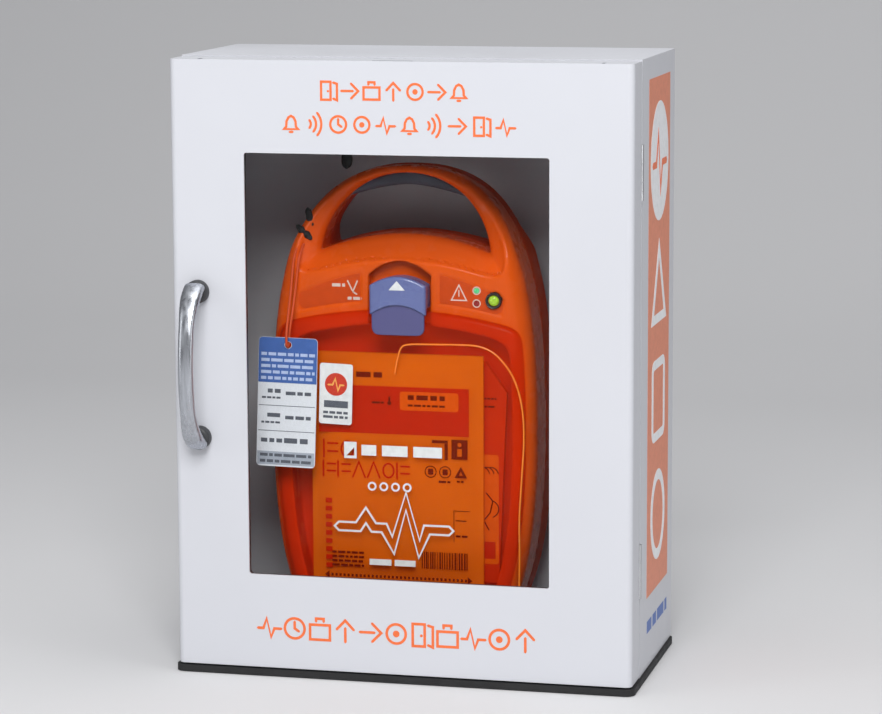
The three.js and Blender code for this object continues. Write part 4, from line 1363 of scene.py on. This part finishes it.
def add_slit_shade_marks():
    """Painted shade on the door's top fold: thin grey strips for the shadow in a slit near each side, and in a
    short one along its middle.
    """
    top = CABINET["height"] - 1.0
    slits = [[rectangle(side - 1, side + 1, 1.5, 9)] for side in (-148.5, 148.5)]
    slits.append([rectangle(-20, 10, 5, 5.8)])
    # grey ink strips stand in as painted shade for the slits, which are not cut
    plate("door_fold_slit_shade", slits, top + 0.02, top + 0.12, "grey_ink", "door", "white_paint", facing_up)


def assign_cad_finishes():
    """Every carried-over CAD node takes the finish of its own slot."""
    for part in frame["record"]["subparts"]:
        mesh = frame["nodes"][part["node"]].data
        mesh.materials.clear()
        mesh.materials.append(FINISHES[part["material_slot"]])


# ---------------------------------------------------------------- stage and light


def add_stage():
    """A pale floor that sweeps up into a backdrop."""
    profile = [(-3.2, 0.0)] + [(y, 0.0) for y in (0.6, 1.2)]
    profile += [(1.2 + 1.3 * math.sin(t), 1.3 - 1.3 * math.cos(t)) for t in np.linspace(0.2, math.pi / 2, 10)]
    profile += [(2.5, 4.0)]
    points = [(side * 4.0, y, z - 0.0005) for y, z in profile for side in (-1, 1)]
    faces = [(2 * i, 2 * i + 1, 2 * i + 3, 2 * i + 2) for i in range(len(profile) - 1)]
    mesh = bpy.data.meshes.new("backdrop")
    mesh.from_pydata(points, [], faces)
    for face in mesh.polygons:
        face.use_smooth = True
    f = Finish("backdrop")
    split = f.node("ShaderNodeSeparateXYZ")
    f.link(f.where, split.inputs[0])
    height = f.node("ShaderNodeMapRange")
    height.inputs["From Min"].default_value = 0.0
    height.inputs["From Max"].default_value = 2.2
    f.link(split.outputs["Z"], height.inputs["Value"])
    # painted shade: the backdrop's colour darkens from the floor up towards its top
    tone = f.ramp(height.outputs["Result"], [(0.0, (0.62, 0.62, 0.63)), (1.0, (0.30, 0.30, 0.31))])
    mesh.materials.append(f.done(f.surface(tone, f.spread(f.noise(3), 0.7, 0.8))))
    backdrop = bpy.data.objects.new("backdrop", mesh)
    bpy.context.scene.collection.objects.link(backdrop)


def area_light(name, at, aim, size, power):
    data = bpy.data.lights.new(name, "AREA")
    data.shape = "RECTANGLE"
    data.size, data.size_y = size
    data.energy = power
    lamp = bpy.data.objects.new(name, data)
    lamp.location = at
    lamp.rotation_euler = (Vector(aim) - Vector(at)).to_track_quat("-Z", "Y").to_euler()
    bpy.context.scene.collection.objects.link(lamp)


def add_light():
    world = bpy.data.worlds.new("studio")
    world.use_nodes = True
    world.node_tree.nodes["Background"].inputs["Color"].default_value = (0.78, 0.79, 0.82, 1)
    world.node_tree.nodes["Background"].inputs["Strength"].default_value = 0.30
    bpy.context.scene.world = world
    area_light("key", (0.5, -2.5, 2.2), (0, 0, 0.22), (1.4, 1.4), 88)
    area_light("top", (0.2, -0.3, 2.3), (0, 0, 0.4), (1.8, 1.4), 22)
    area_light("left", (-2.2, -1.6, 0.9), (0, 0, 0.25), (0.8, 1.6), 9)
    area_light("right", (2.4, -1.0, 0.6), (0, 0, 0.2), (0.8, 1.4), 9)


# ---------------------------------------------------------------- assembly

add_camera()
add_cord()
assign_cad_finishes()
add_handle()
add_door_print()
add_side_print()
add_slit_shade_marks()
add_front_shell()
add_rear_shell()
add_band()
add_grip()
add_latch()
add_pouch()
add_pouch_print()
add_spare()
add_lid()
add_lid_marks()
add_lid_highlight_line()
add_tag()
add_ties()
add_strap_tip()
add_stage()
add_light()
bpy.context.scene.view_settings.view_transform = "Standard"
